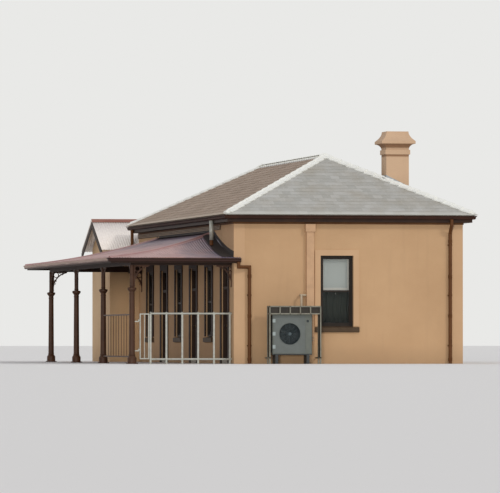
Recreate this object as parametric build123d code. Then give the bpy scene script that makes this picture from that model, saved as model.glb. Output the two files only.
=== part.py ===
from build123d import *
import math
import os

# All sizes are in millimetres. While the building is put together, X = 0 and Y = 0 is the outer
# corner of the main block next to the platform, +X runs away from the platform, +Y runs along it
# and Z = 0 is the platform level. The finished pieces are moved so that the middle of the plan is
# the origin.

# Main block
BLOCK_WIDTH = 6500
BLOCK_LENGTH = 15500
WALL_THICK = 320
FLOOR_TOP = 100
CEILING_UNDERSIDE = 3560
CEILING_THICK = 25

# Main roof, measured at the edge of the slates
ROOF_EDGE_Z = 4165
ROOF_OVERHANG = 275
ROOF_PITCH = 26
ROOF_THICK = 45
CAPPING_WIDTH = 170
CAPPING_THICK = 22
FASCIA_THICK = 25
FASCIA_HEIGHT = 215
SOFFIT_THICK = 20
FRIEZE_HEIGHT = 55
FRIEZE_THICK = 22

# Gutters, shared by the main roof and the verandah
GUTTER_WIDTH = 112
GUTTER_HEIGHT = 100
GUTTER_WALL = 5
GUTTER_DROP = 4
SLATE_LAP = 52
PIPE_RADIUS = 47
PIPE_STAND_OFF = 69
PIPE_SWAN_DROP = 230
PIPE_CLEAR = 70
ROAD_PIPE_INSET = 378
VERANDAH_PIPE_X = 430
VERANDAH_PIPE_DROP = 140
CLIP_PITCH = 1400
CLIP_FIRST_Z = 500
CLIP_HEIGHT = 40
CLIP_REACH = 60
SPREADER_Y = 1900
SPREADER_RADIUS = 50
FAR_SPREADER_GAP = 330

# Chimney
CHIMNEY_SIDE = 650
CHIMNEY_ROAD_GAP = 1110
CHIMNEY_Y = 1900
CHIMNEY_TOP = 6540
CAP_SIDE = 440
CAP_HEIGHT = 25
CORNICE_HEIGHT = 485
CORNICE_REACH = 160
CORNICE_SPLAY = 255
CORNICE_LIP = 75
NECK_BAND_DROP = 8
NECK_BAND_HEIGHT = 132
NECK_BAND_REACH = 32
FLUE_RADIUS = 115

# Sash windows
WINDOW_WIDTH = 930
WINDOW_HEIGHT = 1960
WINDOW_SILL_Z = 1040
NEAR_WINDOW_X = 2915
WINDOW_SETBACK = 95
WINDOW_FRAME_FACE = 45
WINDOW_FRAME_DEPTH = 120
SASH_THICK = 38
SASH_FACE = 52
MEETING_RAIL = 42
GLASS_THICK = 6
BLIND_THICK = 4
SILL_HEIGHT = 170
SILL_REACH = 70
BAND_WIDTH = 160
BAND_REACH = 24
PLATFORM_WINDOW_SHIFT = 65

# Openings along the platform, from the near end, by the middle of each
FIRST_OPENING_Y = 1280
LAST_OPENING_GAP = 2070
OPENING_COUNT = 6
DOOR_OPENING_WIDTH = 980
DOOR_OPENING_TOP = 2720
INNER_DOOR_WIDTH = 900
INNER_DOOR_TOP = 2200
DOOR_FRAME_FACE = 58
DOOR_FRAME_DEPTH = 130
DOOR_FRAME_SETBACK = 30
DOOR_STOP = 16
DOOR_LEAF_TOP = 2080
DOOR_LEAF_THICK = 44
HINGE_GAP = 6
STRIKE_GAP = 8
FLOOR_GAP = 10
TRANSOM_FACE = 60
PANEL_DEPTH = 12
PANEL_MARGIN = 115
HINGE_RADIUS = 12
HINGE_PIN_RADIUS = 6
PIN_CLEARANCE = 0.3
HINGE_LENGTH = 100
HINGE_INSET = 180
KNOB_RADIUS = 27
KNOB_THICK = 26
KNOB_REACH = 62
SPINDLE_RADIUS = 9
KNOB_HEIGHT = 1060

# Verandah: its outer edge is the lip of the gutter
VERANDAH_REACH = 3580
VERANDAH_NEAR_Y = -250
VERANDAH_FAR_GAP = 45
VERANDAH_RETURN = 170
MITRE_MARGIN = 400
VERANDAH_EDGE_Z = 2935
VERANDAH_WALL_Z = 3700
VERANDAH_SAG = 105
SHEET_THICK = 20
SHEET_LAP = 58
RAFTER_DEPTH = 75
RAFTER_WIDTH = 50
RAFTER_PITCH = 1190
VERANDAH_FASCIA_HEIGHT = 135
LEDGER_HEIGHT = 140
LEDGER_THICK = 45
BEAM_WIDTH = 90
BEAM_DEPTH = 165
POST_X = -2800
POST_INSET = 550
POST_COUNT = 4
SHAFT_RADIUS = 84
SHAFT_TOP_RADIUS = 72
UPPER_RADIUS = 58
BASE_RADIUS = 125
BASE_HEIGHT = 230
CAPITAL_Z = 1990
CAPITAL_HEIGHT = 130
CAPITAL_RADIUS = 124
BRACKET_REACH = 430
BRACKET_DROP = 600
BRACKET_THICK = 26
BRACKET_BAR = 34
RING_RADIUS = 62
RING_BAR = 20

# Railings of the verandah
RAIL_TOP_Z = 1390
RAIL_BOTTOM_Z = 130
RAIL_RADIUS = 27
RAIL_POST_SIDE = 46
END_RAIL_LENGTH = 2225
END_RAIL_WALL_GAP = 55
END_RAIL_POSTS = 6
GATE_GAP = 8
GATE_BAR = 30
GATE_EYE = 40
PLATFORM_RAIL_TOP_Z = 1360
PLATFORM_RAIL_BOTTOM_Z = 200
PLATFORM_RAIL_BAR = 40
BALUSTER_SIDE = 14
BALUSTER_PITCH = 530

# Wing at the far end
WING_LENGTH = 3300
WING_PROJECTION = 900
WING_WALL_THICK = 230
WING_EAVE_Z = 3420
WING_PITCH = 26
WING_ROOF_THICK = 60
WING_OVERHANG = 300
WING_VERGE = 300
BARGE_THICK = 25
BARGE_HEIGHT = 190
WING_RIDGE_REACH = 165
WING_RIDGE_THICK = 22

# Cooling unit on the near wall
UNIT_X = 1545
UNIT_WIDTH = 1120
UNIT_HEIGHT = 1130
UNIT_DEPTH = 380
UNIT_GAP = 150
UNIT_FEET = 250
UNIT_CORNER = 22
UNIT_SHELL = 40
FAN_RADIUS = 295
FAN_OFFSET = 70
FAN_Z = 825
HUB_RADIUS = 70
HUB_LENGTH = 170
BLADE_WIDTH = 130
BLADE_TWIST = 28
GRILLE_BAR = 9
GRILLE_RINGS = 3
GRILLE_SPOKES = 4
UNIT_PIPE_RADIUS = 15
UNIT_PIPE_INSET = 120
UNIT_PIPE_REACH = 80
UNIT_PIPE_ZS = (640, 720)
LOOP_X = 1870
LOOP_TOP = 1900
TRUNK_X = 2145
TRUNK_WIDTH = 220
TRUNK_DEPTH = 110
TRUNK_BOTTOM = 560
TRUNK_HEAD_Z = 3660
TRUNK_HEAD_WIDTH = 290
TRUNK_HEAD_DEPTH = 145

# Guard round the cooling unit
GUARD_X = 1608
GUARD_WIDTH = 1464
GUARD_HEIGHT = 1600
GUARD_DEPTH = 650
GUARD_TOP_DEPTH = 300
GUARD_GAP = 300
GUARD_BAR = 36
GUARD_SHEET = 6
GUARD_BAND = 200
GUARD_STRUTS = 4
GUARD_FOOT = 150

HALF_SLIT = 1.0
TALL = 12000

slope = math.tan(math.radians(ROOF_PITCH))
roof_vertical = ROOF_THICK / math.cos(math.radians(ROOF_PITCH))
roof_x0 = -ROOF_OVERHANG
roof_x1 = BLOCK_WIDTH + ROOF_OVERHANG
roof_y0 = -ROOF_OVERHANG
roof_y1 = BLOCK_LENGTH + ROOF_OVERHANG
roof_half = (roof_x1 - roof_x0) / 2
ridge_z = ROOF_EDGE_Z + roof_half * slope
ridge_x = (roof_x0 + roof_x1) / 2
wall_top = ROOF_EDGE_Z - roof_vertical + ROOF_OVERHANG * slope
gutter_top = ROOF_EDGE_Z - roof_vertical - GUTTER_DROP
fascia_out = ROOF_OVERHANG - SLATE_LAP
fascia_top = ROOF_EDGE_Z - roof_vertical + SLATE_LAP * slope
soffit_z = fascia_top - FASCIA_HEIGHT
opening_pitch = (BLOCK_LENGTH - FIRST_OPENING_Y - LAST_OPENING_GAP) / (OPENING_COUNT - 1)
opening_ys = [FIRST_OPENING_Y + i * opening_pitch for i in range(OPENING_COUNT)]
door_ys = opening_ys[::2]
window_ys = opening_ys[1::2]
chimney_x = BLOCK_WIDTH - CHIMNEY_ROAD_GAP - CHIMNEY_SIDE
cornice_top = CHIMNEY_TOP - CAP_HEIGHT
cornice_foot = cornice_top - CORNICE_HEIGHT
inner_door_xs = (
    (BLOCK_WIDTH - INNER_DOOR_WIDTH) / 2, (BLOCK_WIDTH + INNER_DOOR_WIDTH) / 2
)
verandah_far_y = BLOCK_LENGTH - VERANDAH_FAR_GAP
sheet_reach = VERANDAH_REACH - SHEET_LAP
sheet_near_y = VERANDAH_NEAR_Y + SHEET_LAP
sheet_far_y = verandah_far_y - SHEET_LAP
verandah_fascia_reach = VERANDAH_REACH - GUTTER_WIDTH
post_ys = [
    VERANDAH_NEAR_Y + POST_INSET
    + i * (verandah_far_y - VERANDAH_NEAR_Y - 2 * POST_INSET) / (POST_COUNT - 1)
    for i in range(POST_COUNT)
]
wing_y0 = BLOCK_LENGTH
wing_y1 = BLOCK_LENGTH + WING_LENGTH
wing_x0 = -WING_PROJECTION
wing_x1 = BLOCK_WIDTH
wing_slope = math.tan(math.radians(WING_PITCH))


def block(x0, x1, y0, y1, z0, z1):
    """A box between two corners."""
    size = (x1 - x0, y1 - y0, z1 - z0)
    return Pos((x0 + x1) / 2, (y0 + y1) / 2, (z0 + z1) / 2) * Box(*size)


def face_of(points):
    """A flat face inside a closed outline of straight lines."""
    return make_face(Polyline(*points, close=True))


def along_y(face, y0, y1):
    """Extrude a face, drawn as X and Z, from y0 to y1."""
    return extrude(Plane.XZ.offset(-y0) * face, amount=-(y1 - y0))


def along_x(face, x0, x1):
    """Extrude a face, drawn as Y and Z, from x0 to x1."""
    return extrude(Plane.YZ.offset(x0) * face, amount=x1 - x0)


def plan_prism(points):
    """A tall prism over an outline in plan, used to mitre what lies under it."""
    return extrude(face_of(points), amount=TALL)


def rod(start, end, radius):
    """A round bar between two points."""
    way = Vector(*end) - Vector(*start)
    plane = Plane(origin=start, z_dir=way)
    return extrude(plane * Circle(radius), amount=way.length)


def fuse(pieces):
    """One solid from pieces that overlap."""
    whole = pieces[0]
    for piece in pieces[1:]:
        whole = whole + piece
    return whole


# Main block

def window_hole(depth):
    """The hole of a sash window through a wall, in the window's own frame."""
    half = WINDOW_WIDTH / 2
    return block(-half, half, -1, depth + 1, -SILL_HEIGHT, WINDOW_HEIGHT)


def on_near_wall(x):
    return Pos(x, 0, WINDOW_SILL_Z)


def on_platform_wall(y):
    """The platform windows have their heads level with the heads of the doorways."""
    return Pos(0, y, DOOR_OPENING_TOP - WINDOW_HEIGHT) * Rot(0, 0, -90)


def on_road_wall(y):
    return Pos(BLOCK_WIDTH, y, WINDOW_SILL_Z) * Rot(0, 0, 90)


def window_places(platform_shift=0):
    """Where the windows stand. A shift brings those on the platform nearer the wall's face."""
    forward = Pos(0, -platform_shift, 0)
    return (
        [on_near_wall(NEAR_WINDOW_X)]
        + [on_platform_wall(y) * forward for y in window_ys]
        + [on_road_wall(y) for y in opening_ys]
    )


def at_windows(pieces, platform_shift=0):
    return [place * piece for place in window_places(platform_shift) for piece in pieces]


def near_wall():
    wall = block(0, BLOCK_WIDTH, 0, WALL_THICK, 0, wall_top)
    return wall - on_near_wall(NEAR_WINDOW_X) * window_hole(WALL_THICK)


def far_wall():
    """Two lengths of wall with the way through to the wing between them."""
    y0 = BLOCK_LENGTH - WALL_THICK
    x0, x1 = inner_door_xs
    return [
        block(0, x0, y0, BLOCK_LENGTH, 0, wall_top),
        block(x1, BLOCK_WIDTH, y0, BLOCK_LENGTH, 0, wall_top),
    ]


def platform_wall():
    """Lengths of wall between the doorways, with the windows cut through them."""
    edges = [WALL_THICK]
    for y in door_ys:
        edges += [y - DOOR_OPENING_WIDTH / 2, y + DOOR_OPENING_WIDTH / 2]
    edges.append(BLOCK_LENGTH - WALL_THICK)
    lengths = []
    for y0, y1 in zip(edges[::2], edges[1::2]):
        length = block(0, WALL_THICK, y0, y1, 0, wall_top)
        for y in window_ys:
            if y0 < y < y1:
                length = length - on_platform_wall(y) * window_hole(WALL_THICK)
        lengths.append(length)
    return lengths


def door_lintels():
    """The wall over each doorway, and over the way through to the wing."""
    half = DOOR_OPENING_WIDTH / 2
    lintels = [
        block(0, WALL_THICK, y - half, y + half, DOOR_OPENING_TOP, wall_top)
        for y in door_ys
    ]
    x0, x1 = inner_door_xs
    y0 = BLOCK_LENGTH - WALL_THICK
    lintels.append(block(x0, x1, y0, BLOCK_LENGTH, INNER_DOOR_TOP, wall_top))
    return lintels


def road_wall():
    x0 = BLOCK_WIDTH - WALL_THICK
    wall = block(x0, BLOCK_WIDTH, WALL_THICK, BLOCK_LENGTH - WALL_THICK, 0, wall_top)
    for y in opening_ys:
        wall = wall - on_road_wall(y) * window_hole(WALL_THICK)
    return wall


def floor():
    """The floor between the walls, with a threshold in each doorway."""
    inner = block(
        WALL_THICK, BLOCK_WIDTH - WALL_THICK, WALL_THICK, BLOCK_LENGTH - WALL_THICK, 0, FLOOR_TOP
    )
    half = DOOR_OPENING_WIDTH / 2
    thresholds = [block(0, WALL_THICK, y - half, y + half, 0, FLOOR_TOP) for y in door_ys]
    return fuse([inner] + thresholds)


def ceiling():
    top = CEILING_UNDERSIDE + CEILING_THICK
    return block(
        WALL_THICK, BLOCK_WIDTH - WALL_THICK, WALL_THICK, BLOCK_LENGTH - WALL_THICK,
        CEILING_UNDERSIDE, top,
    )


# Main roof

def hip_solid(drop):
    """The whole hipped roof as one solid, its surfaces lowered by drop."""
    base = ROOF_EDGE_Z - 2 * roof_vertical
    low = ROOF_EDGE_Z - drop
    top = ridge_z - drop
    cross = face_of([
        (roof_x0, base), (roof_x1, base), (roof_x1, low), (ridge_x, top), (roof_x0, low),
    ])
    long_way = face_of([
        (roof_y0, base), (roof_y1, base), (roof_y1, low),
        (roof_y1 - roof_half, top), (roof_y0 + roof_half, top), (roof_y0, low),
    ])
    return along_y(cross, roof_y0, roof_y1) & along_x(long_way, roof_x0, roof_x1)


def roof_quarter(side, gap=0):
    """The plan of one slope: a trapezium or triangle that meets its neighbours on the hips."""
    x0, x1 = roof_x0 - MITRE_MARGIN, roof_x1 + MITRE_MARGIN
    y0, y1 = roof_y0 - MITRE_MARGIN, roof_y1 + MITRE_MARGIN
    near_top = (ridge_x, roof_y0 + roof_half)
    far_top = (ridge_x, roof_y1 - roof_half)
    plans = {
        "near": [(x0, y0), (x1, y0), near_top],
        "road": [(x1, y0), (x1, y1), far_top, near_top],
        "far": [(x1, y1), (x0, y1), far_top],
        "platform": [(x0, y1), (x0, y0), near_top, far_top],
    }
    ways = {"near": (0, -gap), "road": (gap, 0), "far": (0, gap), "platform": (-gap, 0)}
    return Pos(*ways[side], 0) * plan_prism(plans[side])


def roof_slopes():
    shell = hip_solid(0) - hip_solid(roof_vertical) - block(
        roof_x0 - 1, roof_x1 + 1, roof_y0 - 1, roof_y1 + 1, 0, ROOF_EDGE_Z - roof_vertical
    )
    slopes = {side: shell & roof_quarter(side) for side in ("near", "road", "far", "platform")}
    slopes["road"] = slopes["road"] - chimney_core(CEILING_UNDERSIDE, CHIMNEY_TOP)
    return slopes


def capping_run(start, end, up):
    """A capping that bends over a hip or ridge: a shallow angle with a round roll on it."""
    way = Vector(*end) - Vector(*start)
    plane = Plane(origin=start, z_dir=way, x_dir=Vector(*up).cross(way))
    half = CAPPING_WIDTH / 2
    fall = CAPPING_WIDTH * 0.12
    lift = CAPPING_THICK
    roll = CAPPING_THICK * 1.3
    outline = face_of([
        (-half, -fall), (0, 0), (half, -fall), (half, -fall + lift), (0, lift), (-half, -fall + lift),
    ])
    section = outline + Pos(0, lift) * Circle(roll)
    return extrude(plane * section, amount=way.length)


def roof_cappings():
    """Ridge and hip cappings, trimmed to sit on the slates."""
    near_top = (ridge_x, roof_y0 + roof_half, ridge_z)
    far_top = (ridge_x, roof_y1 - roof_half, ridge_z)
    corners = {
        (roof_x0, roof_y0): near_top,
        (roof_x1, roof_y0): near_top,
        (roof_x0, roof_y1): far_top,
        (roof_x1, roof_y1): far_top,
    }
    runs = [capping_run(near_top, far_top, (0, 0, 1))]
    for corner, top in corners.items():
        runs.append(capping_run((*corner, ROOF_EDGE_Z), top, (0, 0, 1)))
    return fuse(runs) - hip_solid(0) - chimney_core(CEILING_UNDERSIDE, CHIMNEY_TOP)


def eave_ring(out0, out1, z0, z1):
    """A flat ring round the eaves, from one distance outside the walls to another."""
    outer = block(-out1, BLOCK_WIDTH + out1, -out1, BLOCK_LENGTH + out1, z0, z1)
    inner = block(-out0, BLOCK_WIDTH + out0, -out0, BLOCK_LENGTH + out0, z0 - 1, z1 + 1)
    return outer - inner


def in_four(ring):
    """Cut a ring on the hip lines into four lengths that just clear each other."""
    sides = ("near", "road", "far", "platform")
    return [ring & roof_quarter(side, gap=HALF_SLIT) for side in sides]


def eave_fascias():
    return in_four(eave_ring(fascia_out - FASCIA_THICK, fascia_out, soffit_z, fascia_top))


def eave_soffits():
    inner = fascia_out - FASCIA_THICK
    return in_four(eave_ring(0, inner, soffit_z, soffit_z + SOFFIT_THICK))


def eave_friezes():
    """The board against the wall under the soffit."""
    return in_four(eave_ring(0, FRIEZE_THICK, soffit_z - FRIEZE_HEIGHT, soffit_z))


def gutter_section():
    """An ogee gutter, drawn with the fascia at x = 0, the lip towards +x and its top at y = 0."""
    w, h, t = GUTTER_WIDTH, GUTTER_HEIGHT, GUTTER_WALL
    outer = make_face([
        Line((0, 0), (0, -h)),
        Line((0, -h), (w * 0.45, -h)),
        ThreePointArc((w * 0.45, -h), (w * 0.66, -h * 0.86), (w * 0.74, -h * 0.55)),
        ThreePointArc((w * 0.74, -h * 0.55), (w * 0.82, -h * 0.28), (w, -h * 0.18)),
        Line((w, -h * 0.18), (w, 0)),
        Line((w, 0), (0, 0)),
    ])
    inner = make_face([
        Line((t, 1), (t, -h + t)),
        Line((t, -h + t), (w * 0.45 - t / 2, -h + t)),
        ThreePointArc(
            (w * 0.45 - t / 2, -h + t), (w * 0.66 - t, -h * 0.86 + t), (w * 0.74 - t, -h * 0.55)
        ),
        ThreePointArc(
            (w * 0.74 - t, -h * 0.55), (w * 0.82 - t, -h * 0.28 + t), (w - t, -h * 0.18 + t)
        ),
        Line((w - t, -h * 0.18 + t), (w - t, 1)),
        Line((w - t, 1), (t, 1)),
    ])
    return outer - inner


def main_gutters():
    """Four lengths of ogee gutter, mitred at the corners."""
    section = gutter_section()
    reach = fascia_out + GUTTER_WIDTH
    near_run = Plane(
        origin=(BLOCK_WIDTH + reach, -fascia_out, gutter_top), x_dir=(0, -1, 0), z_dir=(-1, 0, 0)
    )
    side_run = Plane(origin=(-fascia_out, -reach, gutter_top), x_dir=(-1, 0, 0), z_dir=(0, 1, 0))
    across = extrude(near_run * section, amount=BLOCK_WIDTH + 2 * reach)
    along = extrude(side_run * section, amount=BLOCK_LENGTH + 2 * reach)
    near = across & roof_quarter("near", gap=HALF_SLIT)
    platform = along & roof_quarter("platform", gap=HALF_SLIT)
    centre = Pos(BLOCK_WIDTH / 2, BLOCK_LENGTH / 2, 0)
    half_turn = centre * Rot(0, 0, 180) * Pos(-BLOCK_WIDTH / 2, -BLOCK_LENGTH / 2, 0)
    return [near, platform, half_turn * near, half_turn * platform]


# Chimney

def chimney_core(z0, z1, grow=0):
    return block(
        chimney_x - grow, chimney_x + CHIMNEY_SIDE + grow,
        CHIMNEY_Y - grow, CHIMNEY_Y + CHIMNEY_SIDE + grow, z0, z1,
    )


def chimney_shaft():
    """The square stack, with a deep collar just under its head."""
    shaft = chimney_core(CEILING_UNDERSIDE + CEILING_THICK, cornice_foot)
    band_top = cornice_foot - NECK_BAND_DROP
    return shaft + chimney_core(band_top - NECK_BAND_HEIGHT, band_top, NECK_BAND_REACH)


def chimney_cornice():
    """The moulded head: a cove that flares out to a lip, and a splayed top that sheds rain."""
    half = CHIMNEY_SIDE / 2
    cap = CAP_SIDE / 2
    reach = half + CORNICE_REACH
    lip_top = cornice_top - CORNICE_SPLAY
    lip_z = lip_top - CORNICE_LIP
    profile = make_face([
        Line((0, cornice_foot), (half, cornice_foot)),
        RadiusArc((half, cornice_foot), (reach, lip_z), CORNICE_REACH * 1.3),
        Line((reach, lip_z), (reach, lip_top)),
        Line((reach, lip_top), (cap, cornice_top)),
        Line((cap, cornice_top), (cap, CHIMNEY_TOP)),
        Line((cap, CHIMNEY_TOP), (0, CHIMNEY_TOP)),
        Line((0, CHIMNEY_TOP), (0, cornice_foot)),
    ])
    run = along_y(profile, -reach, reach)
    mitre = plan_prism([(0, 0), (reach, -reach), (reach, reach)])
    quarter = run & mitre
    head = fuse([Rot(0, 0, 90 * i) * quarter for i in range(4)])
    flue = Cylinder(FLUE_RADIUS, TALL, align=(Align.CENTER, Align.CENTER, Align.MIN))
    centre = Pos(chimney_x + half, CHIMNEY_Y + half, 0)
    return centre * (head - flue)


# Sash windows, each drawn with its outer wall face at y = 0, the room towards +y and z = 0 at
# the bottom of the frame

def window_frame():
    half = WINDOW_WIDTH / 2
    y0 = WINDOW_SETBACK
    y1 = y0 + WINDOW_FRAME_DEPTH
    inner = half - WINDOW_FRAME_FACE
    outside = block(-half, half, y0, y1, 0, WINDOW_HEIGHT)
    hole = block(
        -inner, inner, y0 - 1, y1 + 1, WINDOW_FRAME_FACE, WINDOW_HEIGHT - WINDOW_FRAME_FACE
    )
    return outside - hole


def sash(z0, z1, y0):
    half = WINDOW_WIDTH / 2 - WINDOW_FRAME_FACE
    outside = block(-half, half, y0, y0 + SASH_THICK, z0, z1)
    hole = block(
        -half + SASH_FACE, half - SASH_FACE, y0 - 1, y0 + SASH_THICK + 1,
        z0 + SASH_FACE, z1 - SASH_FACE,
    )
    return outside - hole


def sash_pane(z0, z1, y0):
    half = WINDOW_WIDTH / 2 - WINDOW_FRAME_FACE - SASH_FACE
    middle = y0 + SASH_THICK / 2
    return block(
        -half, half, middle - GLASS_THICK / 2, middle + GLASS_THICK / 2,
        z0 + SASH_FACE, z1 - SASH_FACE,
    )


sash_low_z = WINDOW_FRAME_FACE
sash_high_z = WINDOW_HEIGHT - WINDOW_FRAME_FACE
sash_middle_z = (sash_low_z + sash_high_z + MEETING_RAIL) / 2
upper_y = WINDOW_SETBACK + 15
lower_y = upper_y + SASH_THICK + 1


def upper_sash():
    return sash(sash_middle_z - SASH_FACE, sash_high_z, upper_y)


def lower_sash():
    return sash(sash_low_z, sash_middle_z, lower_y)


def panes():
    upper = sash_pane(sash_middle_z - SASH_FACE, sash_high_z, upper_y)
    lower = sash_pane(sash_low_z, sash_middle_z, lower_y)
    return [upper, lower]


def blind():
    """A roller blind drawn half down behind the upper sash."""
    half = WINDOW_WIDTH / 2 - WINDOW_FRAME_FACE
    y1 = WINDOW_SETBACK + WINDOW_FRAME_DEPTH
    y0 = y1 - BLIND_THICK
    return block(-half, half, y0, y1, sash_middle_z, sash_high_z)


def window_sill():
    """A sill with a sloping top that stands out past the wall."""
    half = WINDOW_WIDTH / 2
    y1 = WINDOW_SETBACK + WINDOW_FRAME_DEPTH
    fall = SILL_HEIGHT * 0.2
    side = face_of([
        (0, -SILL_HEIGHT), (y1, -SILL_HEIGHT), (y1, 0), (WINDOW_SETBACK, 0), (0, -fall * 0.7),
    ])
    inside = along_x(side, -half, half)
    reach = half + BAND_WIDTH
    nose = face_of([
        (-SILL_REACH, -SILL_HEIGHT * 0.9), (0, -SILL_HEIGHT), (0, -fall * 0.7), (-SILL_REACH, -fall),
    ])
    return inside + along_x(nose, -reach, reach)


def window_band():
    """The raised plain band round the head and sides of a window."""
    half = WINDOW_WIDTH / 2
    reach = half + BAND_WIDTH
    outside = block(-reach, reach, -BAND_REACH, 0, 0, WINDOW_HEIGHT + BAND_WIDTH)
    hole = block(-half, half, -BAND_REACH - 1, 1, -1, WINDOW_HEIGHT)
    return outside - hole


# Doors, each drawn with its outer wall face at x = 0, the room towards +x and y = 0 in the middle

door_half = DOOR_OPENING_WIDTH / 2
jamb_half = door_half - DOOR_FRAME_FACE
frame_x0 = DOOR_FRAME_SETBACK
frame_x1 = frame_x0 + DOOR_FRAME_DEPTH
leaf_x1 = frame_x1 - 2
leaf_x0 = leaf_x1 - DOOR_LEAF_THICK
leaf_y0 = -jamb_half + HINGE_GAP
leaf_y1 = jamb_half - STRIKE_GAP
leaf_z0 = FLOOR_TOP + FLOOR_GAP
hinge_x = frame_x1 + HINGE_RADIUS + 1
hinge_y = -jamb_half + HINGE_GAP / 2
transom_z = DOOR_LEAF_TOP + STRIKE_GAP
hinge_zs = (leaf_z0 + HINGE_INSET, DOOR_LEAF_TOP - HINGE_INSET - HINGE_LENGTH)


def door_jambs():
    """The two rebated jambs of a doorway, with the hinge pins on the first."""
    jambs = []
    for side in (-1, 1):
        outside = block(frame_x0, frame_x1, jamb_half, door_half, FLOOR_TOP, DOOR_OPENING_TOP)
        stop = block(
            frame_x0, leaf_x0 - HINGE_GAP, jamb_half - DOOR_STOP, jamb_half, FLOOR_TOP, transom_z
        )
        jamb = outside + stop
        if side == -1:
            jamb = mirror(jamb, Plane.XZ)
            for z in hinge_zs:
                jamb = jamb + hinge_pin(z)
        jambs.append(jamb)
    return jambs


def door_heads():
    """The head over the top light, and the rebated transom bar under it."""
    head = block(
        frame_x0, frame_x1, -jamb_half, jamb_half, DOOR_OPENING_TOP - DOOR_FRAME_FACE,
        DOOR_OPENING_TOP,
    )
    bar = block(frame_x0, frame_x1, -jamb_half, jamb_half, transom_z, transom_z + TRANSOM_FACE)
    reach = jamb_half - DOOR_STOP
    stop = block(
        frame_x0, leaf_x0 - HINGE_GAP, -reach, reach, transom_z - DOOR_STOP, transom_z
    )
    return [head, bar + stop]


def hinge_pin(z):
    """A pin with a head at each end, held by a flap on the jamb."""
    third = HINGE_LENGTH / 3
    pin = rod((hinge_x, hinge_y, z), (hinge_x, hinge_y, z + HINGE_LENGTH), HINGE_PIN_RADIUS)
    low = rod((hinge_x, hinge_y, z), (hinge_x, hinge_y, z + third), HINGE_RADIUS)
    high = rod((hinge_x, hinge_y, z + 2 * third), (hinge_x, hinge_y, z + HINGE_LENGTH), HINGE_RADIUS)
    flap_y1 = hinge_y
    flap_y0 = -jamb_half - 2
    flaps = [
        block(frame_x1 - 8, hinge_x, flap_y0 - 20, flap_y1 - 1, z0, z0 + third)
        for z0 in (z, z + 2 * third)
    ]
    return pin + low + high + flaps[0] + flaps[1]


def door_leaf():
    """A panelled leaf with its hinge knuckles and a knob on each face."""
    leaf = block(leaf_x0, leaf_x1, leaf_y0, leaf_y1, leaf_z0, DOOR_LEAF_TOP)
    middle = (leaf_y0 + leaf_y1) / 2
    rail_z = leaf_z0 + 0.42 * (DOOR_LEAF_TOP - leaf_z0)
    half_panel = (leaf_y1 - leaf_y0 - 3 * PANEL_MARGIN) / 4
    for side in (-1, 1):
        y = middle + side * (half_panel + PANEL_MARGIN / 2)
        for z0, z1 in (
            (leaf_z0 + 1.6 * PANEL_MARGIN, rail_z - PANEL_MARGIN / 2),
            (rail_z + PANEL_MARGIN / 2, DOOR_LEAF_TOP - PANEL_MARGIN),
        ):
            for x0, x1 in ((leaf_x0 - 1, leaf_x0 + PANEL_DEPTH), (leaf_x1 - PANEL_DEPTH, leaf_x1 + 1)):
                leaf = leaf - block(x0, x1, y - half_panel, y + half_panel, z0, z1)
    third = HINGE_LENGTH / 3
    bore = HINGE_PIN_RADIUS + PIN_CLEARANCE
    for z in hinge_zs:
        z0, z1 = z + third + PIN_CLEARANCE, z + 2 * third - PIN_CLEARANCE
        barrel = rod((hinge_x, hinge_y, z0), (hinge_x, hinge_y, z1), HINGE_RADIUS)
        flap = block(leaf_x1 - 4, hinge_x, leaf_y0 + 0.2, leaf_y0 + 22, z0, z1)
        hole = rod((hinge_x, hinge_y, z0 - 1), (hinge_x, hinge_y, z1 + 1), bore)
        leaf = leaf + (barrel + flap - hole)
    return leaf + door_knobs()


def door_knobs():
    """A round knob on each face, on one spindle through the leaf."""
    y = leaf_y1 - PANEL_MARGIN / 2
    x0, x1 = leaf_x0 - KNOB_REACH, leaf_x1 + KNOB_REACH
    spindle = rod((x0, y, KNOB_HEIGHT), (x1, y, KNOB_HEIGHT), SPINDLE_RADIUS)
    outer = rod((x0, y, KNOB_HEIGHT), (x0 + KNOB_THICK, y, KNOB_HEIGHT), KNOB_RADIUS)
    inner = rod((x1 - KNOB_THICK, y, KNOB_HEIGHT), (x1, y, KNOB_HEIGHT), KNOB_RADIUS)
    return spindle + outer + inner


def transom_pane():
    x = (frame_x0 + frame_x1) / 2
    return block(
        x - GLASS_THICK / 2, x + GLASS_THICK / 2, -jamb_half, jamb_half,
        transom_z + TRANSOM_FACE, DOOR_OPENING_TOP - DOOR_FRAME_FACE,
    )


# Verandah

def sheet_curve():
    """Centre and radius of the roof sheet's upper curve: x is the distance in from the edge."""
    rise = VERANDAH_WALL_Z - VERANDAH_EDGE_Z
    chord = math.hypot(sheet_reach, rise)
    radius = (chord ** 2 / 4 + VERANDAH_SAG ** 2) / (2 * VERANDAH_SAG)
    away = radius - VERANDAH_SAG
    middle_x, middle_z = sheet_reach / 2, (VERANDAH_EDGE_Z + VERANDAH_WALL_Z) / 2
    return middle_x - away * rise / chord, middle_z + away * sheet_reach / chord, radius


curve_x, curve_z, curve_radius = sheet_curve()


def sheet_z(distance):
    """Height of the sheet's upper face at a distance in from its edge."""
    return curve_z - math.sqrt(curve_radius ** 2 - (distance - curve_x) ** 2)


def curved_band(top_drop, bottom_drop, d0, d1):
    """A face that follows the roof's curve, drawn as distance in from the edge and height."""
    def arc(drop, a, b):
        points = [(d, sheet_z(d) - drop) for d in (a, (a + b) / 2, b)]
        return ThreePointArc(*points)
    ends = [(d, sheet_z(d)) for d in (d0, d1)]
    return make_face([
        arc(top_drop, d0, d1),
        Line((d1, ends[1][1] - top_drop), (d1, ends[1][1] - bottom_drop)),
        arc(bottom_drop, d1, d0),
        Line((d0, ends[0][1] - bottom_drop), (d0, ends[0][1] - top_drop)),
    ])


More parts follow.
